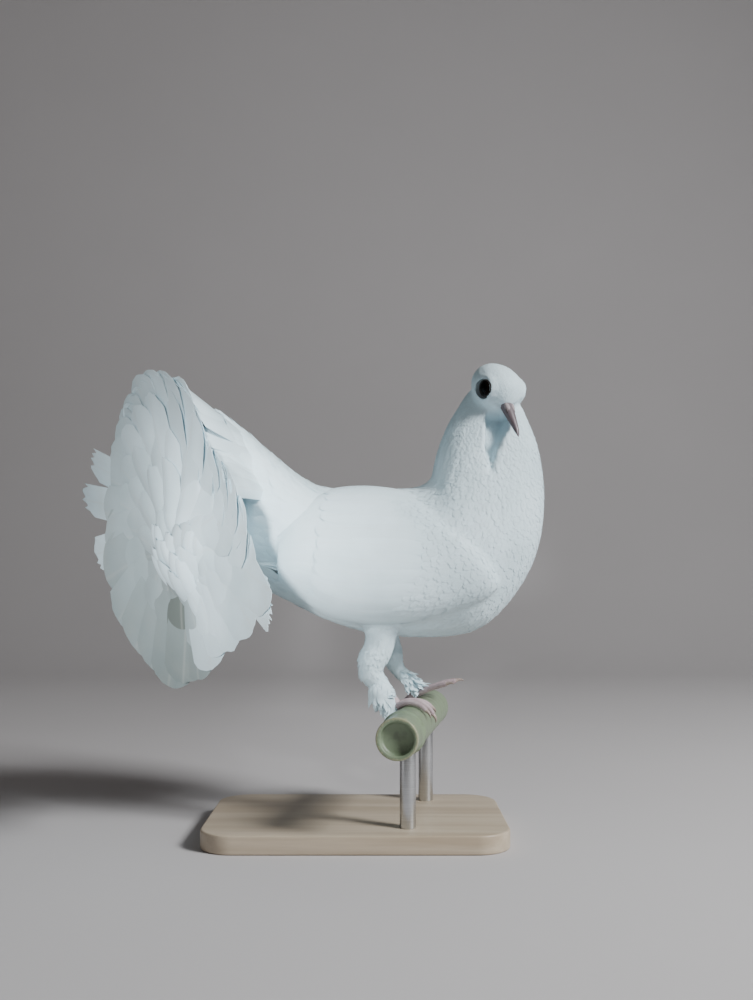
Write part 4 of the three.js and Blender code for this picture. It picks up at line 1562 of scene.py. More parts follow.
                spot, facing, _ = self.body.settle(at + across * width * v) if v else (at, normal, None)
                drop = (0.07 + 0.06 * length[:, None] / 10) * abs(v) * MM
                upper[:, i, j] = spot + facing * (rise - drop)
                shade[:, i, j] = unit(facing + across * 0.18 * v)
            if i < self.rows - 1:
                after, turned, _ = self.body.settle(at + way * step)
                gone = np.linalg.norm(after - at, axis=1)
                sound &= (gone < step[:, 0] * 1.25) & (gone > step[:, 0] * 0.6)
                sound &= (turned * normal).sum(1) > 0.72
                at, normal = after, turned
        self.clear_eyes(upper)
        geometric = self.faceted(upper)
        relief = (0.22 + 0.4 * limb)[:, None, None, None]
        shade = unit(shade * (1 - relief) + geometric * relief)
        bake = self.patches(roots, faces)
        self.where = where[sound]
        self.limbs = limb[sound]
        tint = self.random.beta(1.3, 3.0, count)
        grown = FeatherSet(upper, None, tint, bake, np.full(count, 1.6), shade)
        return grown.pick(sound)

    def scatter(self) -> tuple[np.ndarray, np.ndarray]:
        """Spreads roots over the skin, closer where feathers are small.

        Returns:
            The roots and the skin triangles that they lie on.
        """
        corners = self.body.points[self.body.triangles].astype(float)
        middles = corners.mean(1)
        square = np.cross(corners[:, 1] - corners[:, 0], corners[:, 2] - corners[:, 0])
        areas = np.linalg.norm(square, axis=1) / 2
        limb = self.limb(middles)
        room = np.interp(self.share(middles), self.stops, self.lengths) * (1 - limb) + 6.0 * limb
        room *= self.packing * MM
        density = 5.0 * areas / room**2
        faces = np.repeat(np.arange(len(areas)), self.random.poisson(density))
        a, b = self.random.random((2, len(faces)))
        flip = a + b > 1
        a[flip], b[flip] = 1 - a[flip], 1 - b[flip]
        base = corners[faces]
        first, second = base[:, 1] - base[:, 0], base[:, 2] - base[:, 0]
        spots = base[:, 0] + first * a[:, None] + second * b[:, None]
        keep = self.wanted(spots)
        faces, spots, room = faces[keep], spots[keep], room[faces][keep]
        order = self.random.permutation(len(spots))
        tree = KDTree(len(spots))
        for index, spot in enumerate(spots):
            tree.insert(spot, index)
        tree.balance()
        free = np.ones(len(spots), bool)
        chosen = []
        for index in order:
            if free[index]:
                chosen.append(index)
                for _, near, _ in tree.find_range(spots[index], room[index]):
                    free[near] = False
        chosen = np.array(chosen)
        return spots[chosen], faces[chosen]

    def clear_eyes(self, upper: np.ndarray) -> None:
        """Pushes tuft points clear of the eyeballs and of the lid opening.

        Args:
            upper: The tufts' points in metres, which are moved.
        """
        room = (Eye.radius + 0.3) * MM
        for eye, side in zip(self.eyes, Side):
            axis = np.array(Eye(side).axis)
            away = upper - eye
            height = (away * axis).sum(-1, keepdims=True)
            flat = away - axis * height
            radius = np.linalg.norm(flat, axis=-1, keepdims=True)
            inside = (radius < Eye.clear * MM) & (height > 0) & (height < 14 * MM)
            pushed = eye + axis * height + unit(flat) * Eye.clear * MM
            upper[:] = np.where(inside, pushed, upper)
            away = upper - eye
            reach = np.linalg.norm(away, axis=-1, keepdims=True)
            upper[:] = np.where(reach < room, eye + unit(away) * room, upper)

    @staticmethod
    def faceted(upper: np.ndarray) -> np.ndarray:
        """Normals of the tufts' own faces.

        Args:
            upper: The tufts' points.

        Returns:
            The normal at each point.
        """
        along = np.gradient(upper, axis=1)
        across = np.gradient(upper, axis=2)
        return unit(np.cross(across, along))

    def patches(self, roots: np.ndarray, faces: np.ndarray) -> np.ndarray:
        """A small patch of the skin's unwrap for each tuft, at its root's place.

        Args:
            roots: The tufts' roots.
            faces: The skin triangles that they lie on.

        Returns:
            The unwrap's values at every point of every tuft.
        """
        _, _, weights = self.body.settle(roots, faces)
        middle = (self.body.unwrap[faces] * weights[..., None]).sum(1)
        across, along = np.meshgrid((-0.5, 0, 0.5), np.linspace(-0.5, 0.5, self.rows))
        spread = np.stack([across, along], -1) * self.patch
        return np.clip(middle[:, None, None] + spread, 0.0, 1.0)

    def show(self, material: Material) -> None:
        """Adds the coat in pieces by region.

        Args:
            material: The feathers' material.
        """
        grown = self.grow()
        cuts = {"coat_legs": self.limbs > 0.5}
        for name, low, high in self.regions:
            cuts[name] = (self.limbs <= 0.5) & (self.where >= low) & (self.where < high)
        for name, keep in cuts.items():
            add_piece(name, grown.pick(keep).mesh(name), material)


@dataclass(frozen=True)
class Stance:
    """How one foot stands.

    It has its place along the bamboo, its angle from the bamboo's top towards the front, how closely its toes
    follow the bamboo, how steeply they lift off it, and where the hock is.
    """

    along: float
    seat: float
    curl: float
    rise: float
    hock: Point


STANCES = {
    Side.RIGHT: Stance(-24.0, math.radians(-38), 1.0, 0.0, (-20, -23, 23)),
    Side.LEFT: Stance(24.0, math.radians(-14), 0.1, 0.3, (-3, 23, 22)),
}


@dataclass
class Leg:
    """One feathered leg: where it stands and how it bends, in layout millimetres."""

    side: Side
    hip: Point = (-12, 23, 52)
    end_up: float = 8.5

    @property
    def stance(self) -> Stance:
        """How its foot stands."""
        return STANCES[self.side]

    @property
    def line(self) -> tuple[Vector, ...]:
        """Hip, hock and the top of the foot."""
        x, y, z = self.hip
        return Vector((x, y * self.side.value, z)), Vector(self.stance.hock), self.foot_top

    @property
    def foot_top(self) -> Vector:
        """Where the feathers end above the toes."""
        spot = PERCH.point(self.stance.along, PERCH.radius + self.end_up, self.stance.seat)
        return spot + Vector((-1.2, 0, 0))

    def samples(self, steps: int = 12) -> tuple[np.ndarray, np.ndarray]:
        """Points down the leg and its direction, in metres.

        Args:
            steps: Points on each of its two straight stretches.

        Returns:
            The points and the directions.
        """
        points = [self.line[0].lerp(self.line[1], i / steps) for i in range(steps)]
        points += [self.line[1].lerp(self.line[2], i / steps) for i in range(steps + 1)]
        places = np.array([FRAME.to_metres(point) for point in points])
        return places, unit(np.gradient(places, axis=0))


@dataclass(frozen=True)
class Tier:
    """One tier of wing feathers, by share of the wing's length and degrees from its top edge."""

    name: str
    count: int
    root: tuple[float, float]
    tip: tuple[float, float]
    rows: tuple[float, float]
    half: float
    lift: float
    narrow: float = 0.6


@dataclass
class WingFeathers:
    """The large feathers of one closed wing."""

    side: Side
    body: Body
    seed: int = 7
    sunk: float = 1.5
    thick: float = 0.2
    edge: float = 0.08
    tiers: tuple[Tier, ...] = (
        Tier("primaries", 9, (0.50, 0.52), (1.16, 1.03), (112, 162), 7.6, 0.0, 0.5),
        Tier("secondaries", 12, (0.50, 0.52), (0.96, 1.08), (8, 116), 8.8, 0.12, 0.6),
        Tier("greater_coverts", 13, (0.42, 0.44), (0.74, 0.82), (7, 156), 9.4, 0.08, 0.6),
    )

    def feather(self, tier: Tier, row: float, random: np.random.Generator) -> Place:
        """Lays one feather of a tier.

        Args:
            tier: Its tier.
            row: Its place in the tier, from 0 at the top edge to 1 at the bottom edge.
            random: The wing's own random numbers.

        Returns:
            The function that gives its points and normals.
        """
        angle = math.radians(lerp(*tier.rows, row) + random.uniform(-0.7, 0.7))
        root = lerp(*tier.root, row)
        tip = lerp(*tier.tip, row) + random.uniform(-0.012, 0.012)
        half = math.radians(tier.half) * random.uniform(0.95, 1.08)
        worn = random.uniform(-1, 1, 9) * 0.012
        lift = tier.lift * random.uniform(0.85, 1.15)
        bow = (tier.half / 100) * random.uniform(0.7, 0.95)
        bend = math.radians(random.uniform(-0.8, 0.8))

        def place(share: float, v: float) -> tuple[Vector, Vector]:
            """A point of the feather and the wing's normal there.

            Args:
                share: The share of the feather's length, from its root.
                v: The place across it from -1 to 1.

            Returns:
                The point in layout millimetres and the direction.
            """
            rounding = bow * rounded(v) * share**2
            reach = root + (tip - root) * share - rounding - 0.4 * abs(worn[int((v + 1) * 4)]) * share**8
            wide = swell(share, tier.narrow)
            at, normal = WING.over(reach, angle + v * half * wide + bend * share * share)
            height = -self.sunk + (self.sunk + lift) * share**0.8 + self.edge * v * share - 0.18 * v * v
            point = at + normal * height
            flip = self.side.value
            facing = Vector((normal.x, normal.y * flip, normal.z))
            return self.hug(Vector((point.x, point.y * flip, point.z)), facing, reach), facing

        return place

    def hug(self, point: Vector, normal: Vector, reach: float) -> Vector:
        """Draws a point near the feathers' ends down towards the rump's coat.

        Args:
            point: The point in layout millimetres.
            normal: The wing's normal there.
            reach: Its share of the wing's length.

        Returns:
            The point, moved in where the body's skin is near.
        """
        if reach < 0.86:
            return point
        skin, gap = self.body.nearest(point)
        if not 1.3 < gap < 11:
            return point
        share = smoothstep(0.86, 1.05, reach) * (1 - smoothstep(7, 11, gap)) * 0.9
        return point.lerp(skin + normal * 1.3, share)

    def show(self, material: Material) -> None:
        """Adds every tier as a piece.

        Args:
            material: The feathers' material.
        """
        random = np.random.default_rng(self.seed)
        for tier in self.tiers:
            plume = Plume(f"wing_{self.side.word}_{tier.name}", 14, 9)
            for k in range(tier.count):
                place = self.feather(tier, k / (tier.count - 1), random)
                plume.add(place, self.thick, random.beta(1.3, 3))
            plume.show(material, [f"wing_{self.side.word}"])


@dataclass(frozen=True)
class Ring:
    """One ring of feathers round the fan.

    A ring without a reach follows the fan's rim, at a share of it. The heights in front of the fan are those
    at the root and at the tip, and hug draws the feathers' edges towards it.
    """

    name: str
    count: int
    span: tuple[float, float]
    root: float
    reach: float | None
    half: float
    heights: tuple[float, float]
    corner: float = 2.4
    jitter: float = 2.4
    ragged: float = 1.2
    narrow: float = 0.3
    round: float = 0.5
    drop: float = 0.0
    hug: float = 0.9
    share: float = 1.0
    rows: int = 17
    columns: int = 13


@dataclass
class FanFeathers:
    """The tail's broad feathers in their rings, with the worn ones on the far side."""

    seed: int = 31
    thick: float = 0.5
    tilt: float = 0.035
    rings: tuple[Ring, ...] = (
        Ring("tail_feathers", 27, (-178, 176), 18, None, 21.5, (0, 0), hug=0.0),
        Ring(
            "tail_under_coverts_long",
            21, (-172, 168), 18, 82, 19, (-7.0, -0.9), 2, 5, 2.2, 0.45, 0.7, 10,
        ),
        Ring(
            "tail_under_coverts_middle",
            17, (-160, 178), 18, 64, 17, (-11, -2.2), 2, 5, 2.2, 0.5, 0.8, 16, 0.75,
        ),
        Ring(
            "tail_under_coverts_short",
            14, (-176, 160), 14, 48, 15, (-15, -5.0), 2, 4, 2.2, 0.5, 0.9, 22, 0.5,
        ),
        Ring(
            "tail_upper_coverts",
            21, (-100, 112), 26, None, 14, (12, 0.9), 2, 2, 2.0, 0.5, 0.8, 0, 0.1, 0.98,
        ),
        Ring(
            "tail_upper_coverts_short",
            19, (-100, 112), 26, None, 12, (19, 6), 2, 2, 2.0, 0.5, 0.9, 0, 0.1, 0.78,
        ),
    )
    worn: Ring = Ring("tail_worn_feathers", 5, (0, 0), 16, 130, 12.5, (6, 5.5), 2, 0, 9, 0.5, 0.5, hug=0.0)
    near: Ring = Ring("tail_worn_feathers", 2, (0, 0), 16, 130, 8.5, (-1, -1.6), 2, 0, 5, 0.5, 0.5, hug=0.0)
    # Angle and reach of the worn feathers on the far side, then of the two that stick out on the near side.
    strays: tuple[tuple[float, float], ...] = ((-67, 132), (-81, 143), (-98, 137), (111, 130), (115, 136))
    # How much duller the feathers are at an angle: clean on the near side, darker on the far side and at the
    # bottom, partly soiling and partly painted shade.
    soiling_and_shade: tuple[tuple[float, ...], ...] = (
        (-180, -140, -60, -20, 25, 158, 174), (1.5, 1.2, 0.6, 0.3, 0.0, 0.0, 1.3),
    )
    vents: int = 42
    side_row: int = 17

    def feather(
        self, ring: Ring, degrees: float, reach: float, half: float, random: np.random.Generator
    ) -> Place:
        """Lays one feather of the fan.

        Args:
            ring: Its ring.
            degrees: Its angle from the top towards the bird's right.
            reach: How far its tip is from the hub.
            half: Half its width.
            random: The fan's own random numbers.

        Returns:
            The function that gives its points and normals.
        """
        angle = math.radians(degrees)
        across = FAN.way(angle + math.pi / 2)
        fingers = random.uniform(0, 1, ring.columns)
        worn = ring.ragged * random.uniform(0.35, 1.5)
        wave = random.uniform(-1, 1, 3)
        corner = ring.corner * random.uniform(0.6, 1.4)
        bent = random.uniform(-1, 1) * 2.0
        loose = 2.0 if abs(degrees) > 115 and ring.hug == 0 else 1.0
        twist = (1 if degrees > -100 else -1) * self.tilt + random.uniform(-0.012, 0.012) * loose
        rise = random.uniform(-1, 1) * (0.5 * loose if degrees < 15 or loose > 1 else 0.15)
        low, high = ring.heights
        if high < 0 and 10 < degrees < 150:
            high = 0.9 + high * 0.25

        def place(share: float, v: float) -> tuple[Vector, Vector]:
            """A point of the feather and the fan's normal.

            Args:
                share: The share of the feather's length, from its root.
                v: The place across it from -1 to 1.

            Returns:
                The point in layout millimetres and the direction.
            """
            x = v * half * swell(share, ring.narrow) + bent * share**2
            column = int(round((v + 1) / 2 * (ring.columns - 1)))
            cut = half * ring.round * rounded(v) * share**3
            cut += corner * max(0.0, abs(v) - 0.3) * share**2 + worn * fingers[column] * share**10
            height = lerp(low, high, share) * (1 - ring.hug * v * v) + x * twist + rise * share**2
            height += 0.5 * math.sin(2.2 * share * math.pi + wave[0] * 3) * share * wave[1]
            height += 0.8 * v * v if ring.hug == 0 else -0.5 * v * v
            height += 0.22 * wave[2] * math.sin(5 * v + 4 * share)
            full = reach
            if ring.reach is None:
                rim = FAN.reach_at(degrees + math.degrees(math.atan2(x, reach)))
                full = min(reach, (rim + 2.5) * ring.share)
            distance = ring.root + (full + ring.drop * math.cos(angle) - ring.root) * share - cut
            return FAN.point(distance, angle, height) + across * x - FAN.up * ring.drop, FAN.normal

        return place

    def vent(self, random: np.random.Generator) -> Plume:
        """The soft feathers over the middle of the fan, which hide where the others meet.

        Args:
            random: The fan's own random numbers.

        Returns:
            The tier.
        """
        plume = Plume("tail_vent_feathers", 11, 9)
        low, heart = Vector((-6, -110)), Vector((0, -17))
        for k in range(self.vents):
            turn, gone = GOLDEN_TURN * k, 3.0 + 5.4 * math.sqrt(k)
            start = heart + Vector((gone * math.sin(turn), gone * math.cos(turn)))
            way = (start - low).normalized()
            way.rotate(Matrix.Rotation(random.uniform(-0.5, 0.5), 2))
            side = Vector((way.y, -way.x))
            length = random.uniform(22, 30)
            half = random.uniform(8, 10.5)
            over = 3.0 * (1 - (start - low).length / 140)
            worn = random.uniform(0, 1, 9)

            def place(share: float, v: float) -> tuple[Vector, Vector]:
                """A point of the feather and the fan's normal.

                Args:
                    share: The share of the feather's length, from its root.
                    v: The place across it from -1 to 1.

                Returns:
                    The point in layout millimetres and the direction.
                """
                cut = half * 0.9 * rounded(v) * share**2
                cut += 1.8 * worn[int(round((v + 1) * 4))] * share**8
                wide = half * (0.55 + 0.45 * math.sin(math.pi * min(share, 0.6) / 1.2))
                flat = start + way * (length * share - cut) + side * (v * wide)
                dome = 2.4 + 18 * max(0.0, 1 - ((flat - heart).length / 50) ** 2)
                height = -(dome + over + 0.3 * share - 5 * (1 - share) ** 2) + 3.2 * v * v
                return FAN.point(0, 0, height) + FAN.right * flat.x + FAN.up * flat.y, FAN.normal

            plume.add(place, self.thick, random.beta(1.3, 2.4) * 0.7)
        return plume

    def sides(self, body: Body, random: np.random.Generator) -> Plume:
        """The coverts that run from the rump's coat out to the fan's near upper rim.

        Args:
            body: The skin that they lie on.
            random: The fan's own random numbers.

        Returns:
            The tier.
        """
        plume = Plume("tail_side_coverts", 13, 9)
        for k in range(2 * self.side_row):
            outer = k < self.side_row
            degrees = lerp(-30, 80 if outer else 52, (k % self.side_row + (0 if outer else 0.5)) / 16.5)
            angle = math.radians(degrees)
            follow = 0.45 * smoothstep(45, 78, degrees)
            root, _ = body.nearest(FAN.point(52, angle, 44 if outer else 58))
            rim = FAN.point(FAN.reach_at(degrees) - 4, angle, -0.5)
            way = rim - root
            if not outer:
                way *= random.uniform(0.55, 0.7)
            across = FAN.way(angle + math.pi / 2)
            normal = across.cross(way).normalized()
            if normal.dot(FAN.way(angle)) < 0:
                normal.negate()
            half = random.uniform(13, 15) if outer else random.uniform(9, 11)
            half *= 1 - 0.5 * smoothstep(50, 80, degrees)
            over = 0.0 if outer else 0.5

            def place(share: float, v: float) -> tuple[Vector, Vector]:
                """A point of the feather and the direction that it faces.

                Args:
                    share: The share of the feather's length, from its root.
                    v: The place across it from -1 to 1.

                Returns:
                    The point in layout millimetres and the direction.
                """
                wide = half * (0.36 + 0.64 * math.sin(math.pi / 2 * min(1.0, share * 1.3)))
                cut = 0.16 * rounded(v) * share**2
                height = over - 1.5 * (1 - share) ** 3 - 3.6 * v * v
                point = root + way * (share - cut) + across * (v * wide) + normal * height
                skin, _ = body.nearest(point)
                near = skin + normal * (0.25 - 2.2 * (1 - share) ** 4 - 0.8 * v * v)
                return near.lerp(point, smoothstep(0.12 + follow, 0.55 + follow, share)), normal

            plume.add(place, self.thick, 0.2 * random.random())
        return plume

    def show(self, material: Material, body: Body) -> None:
        """Adds each ring and the worn feathers as pieces.

        Args:
            material: The feathers' material.
            body: The skin under the side coverts.
        """
        random = np.random.default_rng(self.seed)
        for ring in self.rings:
            plume = Plume(ring.name, ring.rows, ring.columns)
            for k in range(ring.count):
                degrees = lerp(*ring.span, k / (ring.count - 1)) + random.uniform(-1.5, 1.5)
                rim = FAN.reach_at(degrees)
                reach = rim * ring.share if ring.reach is None else min(ring.reach, 0.84 * rim)
                reach += random.uniform(-1, 1) * ring.jitter
                half = ring.half * random.uniform(0.9, 1.1)
                # The angle table paints shade, with some soiling, on the fan's far side and bottom; the rest
                # of the tint is random.
                tint = 0.35 * random.beta(1.3, 2.4) + 0.65 * float(np.interp(degrees, *self.soiling_and_shade))
                plume.add(self.feather(ring, degrees, reach, half, random), self.thick, tint)
            plume.show(material, ["tail"])
        self.vent(random).show(material, ["tail"])
        self.sides(body, random).show(material, ["tail"])
        plume = Plume(self.worn.name, self.worn.rows, self.worn.columns)
        for degrees, reach in self.strays:
            ring = self.worn if degrees < 0 else self.near
            plume.add(self.feather(ring, degrees, reach, ring.half, random), self.thick, 0.0)
        plume.show(material, ["tail"])


@dataclass
class Bill:
    """The two halves of the bill, the swellings over the nostrils and the line of the mouth."""

    start: float = 11
    length: float = 25.8
    drop: float = 5.6
    height: float = -4.6
    deep: float = 3.8
    half: float = 4.2
    tip: float = 0.6
    gap: float = 0.3
    overbite: float = 1.4
    steps: int = 36
    sides: int = 20
    mouth_steps: int = 18
    cere_at: float = 17.6
    cere_out: float = 1.9
    cere_up: float = 1.2

    def line(self, share: float, upper: bool) -> float:
        """How far the mouth's line is above the head's middle at a share of the bill."""
        hook = (share - 0.85) * 7 if upper and share > 0.85 else 0
        return self.height - self.drop * share**1.15 - hook

    def half_bill(self, upper: bool) -> BMesh:
        """One half of the bill.

        Args:
            upper: Whether it is the upper half.

        Returns:
            The shape in layout millimetres, with the layer "along".
        """
        bm = bmesh.new()
        layer = bm.verts.layers.float.new("along")
        reach = self.length if upper else self.length - self.overbite
        sign = 1 if upper else -1
        rings = []
        for i in range(self.steps + 1):
            share = 0.5 - 0.5 * math.cos(math.pi * i / self.steps)
            taper = 1 - share**1.5
            end = math.sqrt(max(0.02, 1 - max(0.0, (share - 0.93) / 0.07) ** 2))
            depth = ((self.deep if upper else self.deep * 0.62) * taper + self.tip) * end
            width = self.half * (0.2 + 0.8 * taper) * (1 if upper else 0.9) * end
            base = self.line(share, upper) + sign * self.gap / 2
            ring = []
            for j in range(self.sides):
                angle = math.tau * j / self.sides
                rise = math.sin(angle)
                rise = rise * depth if rise > 0 else rise * 0.12 * depth
                flat = math.copysign(abs(math.cos(angle)) ** 0.85, math.cos(angle)) * width
                ring.append(HEAD.point(self.start + reach * share, flat, base + sign * rise))
            rings.append(ring)
        for share, ring in zip(np.linspace(0, 1, len(rings)), bridge_rings(bm, rings)):
            for vertex in ring:
                vertex[layer] = float(share)
        return bm

    def cere(self, side: Side) -> BMesh:
        """The soft swelling over one nostril, as a rounded wedge.

        Args:
            side: Which nostril.

        Returns:
            The shape in layout millimetres.
        """
        bm = bmesh.new()
        bmesh.ops.create_uvsphere(bm, u_segments=28, v_segments=18, radius=1)
        for vertex in bm.verts:
            x, y, z = vertex.co
            swell = 1 - 0.28 * max(0.0, x) ** 2
            vertex.co = Vector((x * 3.6, y * 1.9 * swell, z * 1.75 * swell - 0.35 * x))
        out = side.value * self.cere_out
        turn = Matrix.Rotation(-side.value * 0.2, 4, "Z") @ Matrix.Rotation(0.2, 4, "Y")
        place = HEAD.matrix @ Matrix.Translation((self.cere_at, out, self.height + self.cere_up)) @ turn
        bmesh.ops.transform(bm, matrix=place, verts=bm.verts)
        return bm

    def nostril(self, side: Side) -> BMesh:
        """The slit below and in front of one swelling: a near-black solid that paints the shadow in the
        nostril.

        Args:
            side: Which nostril.

        Returns:
            The shape in layout millimetres.
        """
        bm = bmesh.new()
        bmesh.ops.create_uvsphere(bm, u_segments=20, v_segments=10, radius=1)
        bmesh.ops.scale(bm, vec=(1.9, 0.55, 0.34), verts=bm.verts)
        turn = Matrix.Rotation(-side.value * 0.24, 4, "Z") @ Matrix.Rotation(0.42, 4, "Y")
        spot = (self.cere_at + 2.4, side.value * 3.05, self.height + 0.35)
        bmesh.ops.transform(bm, matrix=HEAD.matrix @ Matrix.Translation(spot) @ turn, verts=bm.verts)
        return bm

    def mouth(self) -> BMesh:
        """A near-black solid between the halves, which paints the shadow in the line of the closed mouth."""
        bm = bmesh.new()
        rings = []
        for i in range(self.mouth_steps + 1):
            share = i / self.mouth_steps * 0.93
            width = self.half * (0.2 + 0.8 * (1 - share**1.5)) * 0.9
            gone = (self.length - self.overbite) * share
            middle = HEAD.point(self.start + gone, 0, self.line(share, False))
            up = HEAD.point(0, 0, 0.5) - HEAD.point(0, 0, 0)
            out = HEAD.point(0, width, 0) - HEAD.point(0, 0, 0)
            rings.append(oval(middle, up, out, 14))
        bridge_rings(bm, rings)
        return bm

    def show(self, horn: Material, soft: Material, dark: Material) -> None:
        """Adds the bill's pieces.

        Args:
            horn: The horn of the two halves.
            soft: The pale skin of the swellings.
            dark: The painted shadow in the mouth's line and the nostrils.
        """
        add_piece("bill_upper_half", to_mesh(self.half_bill(True), "upper"), horn, ["bill_upper"])
        add_piece("bill_lower_half", to_mesh(self.half_bill(False), "lower"), horn, ["bill_lower"])
        add_piece("mouth_line", to_mesh(self.mouth(), "mouth"), dark)
        for side in Side:
            add_piece(f"cere_{side.word}", to_mesh(self.cere(side), "cere"), soft)
            add_piece(f"nostril_{side.word}", to_mesh(self.nostril(side), "nostril"), dark)


def limb(
    bm: BMesh,
    points: Sequence[Vector],
    radius: Callable[[float, float], float],
    steps: int,
    sides: int,
    reference: Vector,
) -> list[list[bmesh.types.BMVert]]:
    """A rounded limb through points.

    Args:
        bm: The mesh that takes it.
        points: The points that its middle passes through.
        radius: Its radius from the share of its length and the angle round it.
        steps: Rings along it.
        sides: Points in each ring.
        reference: The direction that angle 0 is measured from.

    Returns:
        Its vertices, ring by ring.
    """
    middles = [Vector(spline(points, i / steps)) for i in range(steps + 1)]
    rings = []
    for i, middle in enumerate(middles):
        heading = (middles[min(i + 1, steps)] - middles[max(i - 1, 0)]).normalized()
        side = (reference - heading * reference.dot(heading)).normalized()
        other = heading.cross(side)
        ring = []
        for j in range(sides):
            angle = math.tau * j / sides
            out = side * math.cos(angle) + other * math.sin(angle)
            ring.append(middle + out * radius(i / steps, angle))
        rings.append(ring)
    return bridge_rings(bm, rings)


@dataclass(frozen=True)
class Toe:
    """One toe: how it splays from the foot, its length (behind the foot if negative) and its radius."""

    name: str
    splay: float
    length: float
    radius: float
    spread: float


@dataclass
class Foot:
    """One foot: scaled toes round the bamboo, and their claws."""

    leg: Leg
    gap: float = 0.3
    ankle: float = 3.2
    ankle_up: float = 4.0
    claw: float = 5.8
    claw_radius: float = 1.2
    voxel: float = 0.24
    toes: tuple[Toe, ...] = (
        Toe("inner", -0.4, 22, 1.95, -2.6),
        Toe("middle", 0, 27, 2.15, 0),
        Toe("outer", 0.4, 22, 1.95, 2.6),
        Toe("hind", 0.1, -12, 1.95, 0),
    )

    def path(self, toe: Toe, steps: int = 12) -> list[Vector]:
        """The toe's middle line round the bamboo.

        Args:
            toe: The toe.
            steps: Steps from the foot to its tip.

        Returns:
            Its points in layout millimetres.
        """
        lift = PERCH.radius + self.gap + toe.radius
        turn = -1 if toe.length < 0 else 1
        stance = self.leg.stance
        curl = 1.0 if toe.length < 0 else stance.curl
        points = []
        for i in range(steps + 1):
            gone = abs(toe.length) * i / steps
            angle = stance.seat + turn * gone * curl / lift
            point = PERCH.point(stance.along + toe.spread + toe.splay * gone, lift, angle)
            straight = gone * (1 - curl)
            point += PERCH.across * (turn * straight * math.cos(angle))
            point.z += straight * (stance.rise - turn * math.sin(angle))
            points.append(point)
        return points

    def scutes(self, toe: Toe) -> Callable[[float, float], float]:
        """The toe's radius, with overlapping plates along its upper side and pads below.

        Args:
            toe: The toe.

        Returns:
            The function that gives the radius.
        """
        count = abs(toe.length) / 1.9

        def radius(share: float, angle: float) -> float:
            """The radius at a share of the toe and an angle from the bamboo's length.

            Args:
                share: The share of the toe's length.
                angle: The angle round it.

            Returns:
                The radius in millimetres.
            """
            plate = (share * count) % 1.0
            above = max(0.0, -math.sin(angle))
            below = max(0.0, math.sin(angle))
            joints = 0.07 * math.sin(share * math.pi * 3) * below
            end = math.sqrt(max(0.05, 1 - max(0.0, (share - 0.93) / 0.07) ** 2 * 0.9))
            return toe.radius * (1.0 - 0.26 * share) * (1 + 0.16 * (1 - plate) * above + joints) * end

        return radius

    def show(self, skin: Material, horn: Material) -> None:
        """Adds the foot and its claws.

        Args:
            skin: The scaled skin of the toes.
            horn: The claws' horn.
        """
        bm = bmesh.new()
        for toe in self.toes:
            limb(bm, self.path(toe), self.scutes(toe), int(abs(toe.length) * 2.4), 18, PERCH.along)
        stance = self.leg.stance
        ankle = PERCH.point(stance.along, PERCH.radius + self.gap + self.ankle_up, stance.seat)
        top = self.leg.foot_top + Vector((-0.3, 0, 2.5))
        limb(bm, [top, top.lerp(ankle, 0.5), ankle], lambda share, angle: self.ankle, 8, 18, PERCH.along)
        add_ball(bm, Matrix.Translation(ankle - UP), self.ankle * 1.06)
        mesh = voxel_skin(to_mesh(bm, "toes"), self.voxel)
        word = self.leg.side.word
        add_piece(f"toes_{word}", mesh, skin, [f"foot_{word}"])
        for toe in self.toes:
            claw = f"{word}_{toe.name}"
            add_piece(f"nail_{claw}", self.nail(toe), horn, [f"claw_{claw}"])

    @staticmethod
    def arch(heading: Vector, amount: float) -> Vector:
        """A step towards the bamboo's middle, square to a toe's heading.

        Args:
            heading: The toe's heading.
            amount: How long the step is.

        Returns:
            The step.
        """
        inward = PERCH.along.cross(heading)
        inward.z = -abs(inward.z)
        return inward.normalized() * amount

    def nail(self, toe: Toe) -> Mesh:
        """One curved claw at the end of its toe.

        Args:
            toe: Its toe.

        Returns:
            The mesh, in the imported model's metres.
        """
        path = self.path(toe)
        heading = (path[-1] - path[-2]).normalized()
        start = path[-1] - heading * 1.2
        points = [
            start,
            start + heading * (self.claw * 0.38) - self.arch(heading, 0.35),
            start + heading * (self.claw * 0.74) - self.arch(heading, 0.1),
            start + heading * (self.claw * 1.0) + self.arch(heading, 1.0),
        ]
        bm = bmesh.new()
        layer = bm.verts.layers.float.new("along")

        def taper(share: float, angle: float) -> float:
            """The claw's radius at a share of its length, the same all round."""
            return 0.12 + self.claw_radius * (1 - share) ** 0.75

        rings = limb(bm, points, taper, 18, 14, PERCH.along)
        for i, ring in enumerate(rings):
            for vertex in ring:
                vertex[layer] = i / (len(rings) - 1)
        return to_mesh(bm, "nail")


@dataclass(frozen=True)
class Shag:
    """The ranges of one foot's short feathers: bearing in degrees, length, half width and fall."""

    bearing: tuple[float, float]
    length: tuple[float, float]
    half: tuple[float, float]
    fall: tuple[float, float]


SHAGS = {
    Side.RIGHT: Shag((-130, -35), (11, 17), (1.3, 2.2), (2.6, 5.5)),
    Side.LEFT: Shag((-95, 60), (6.5, 12), (1.5, 2.3), (0.1, 2.6)),
}


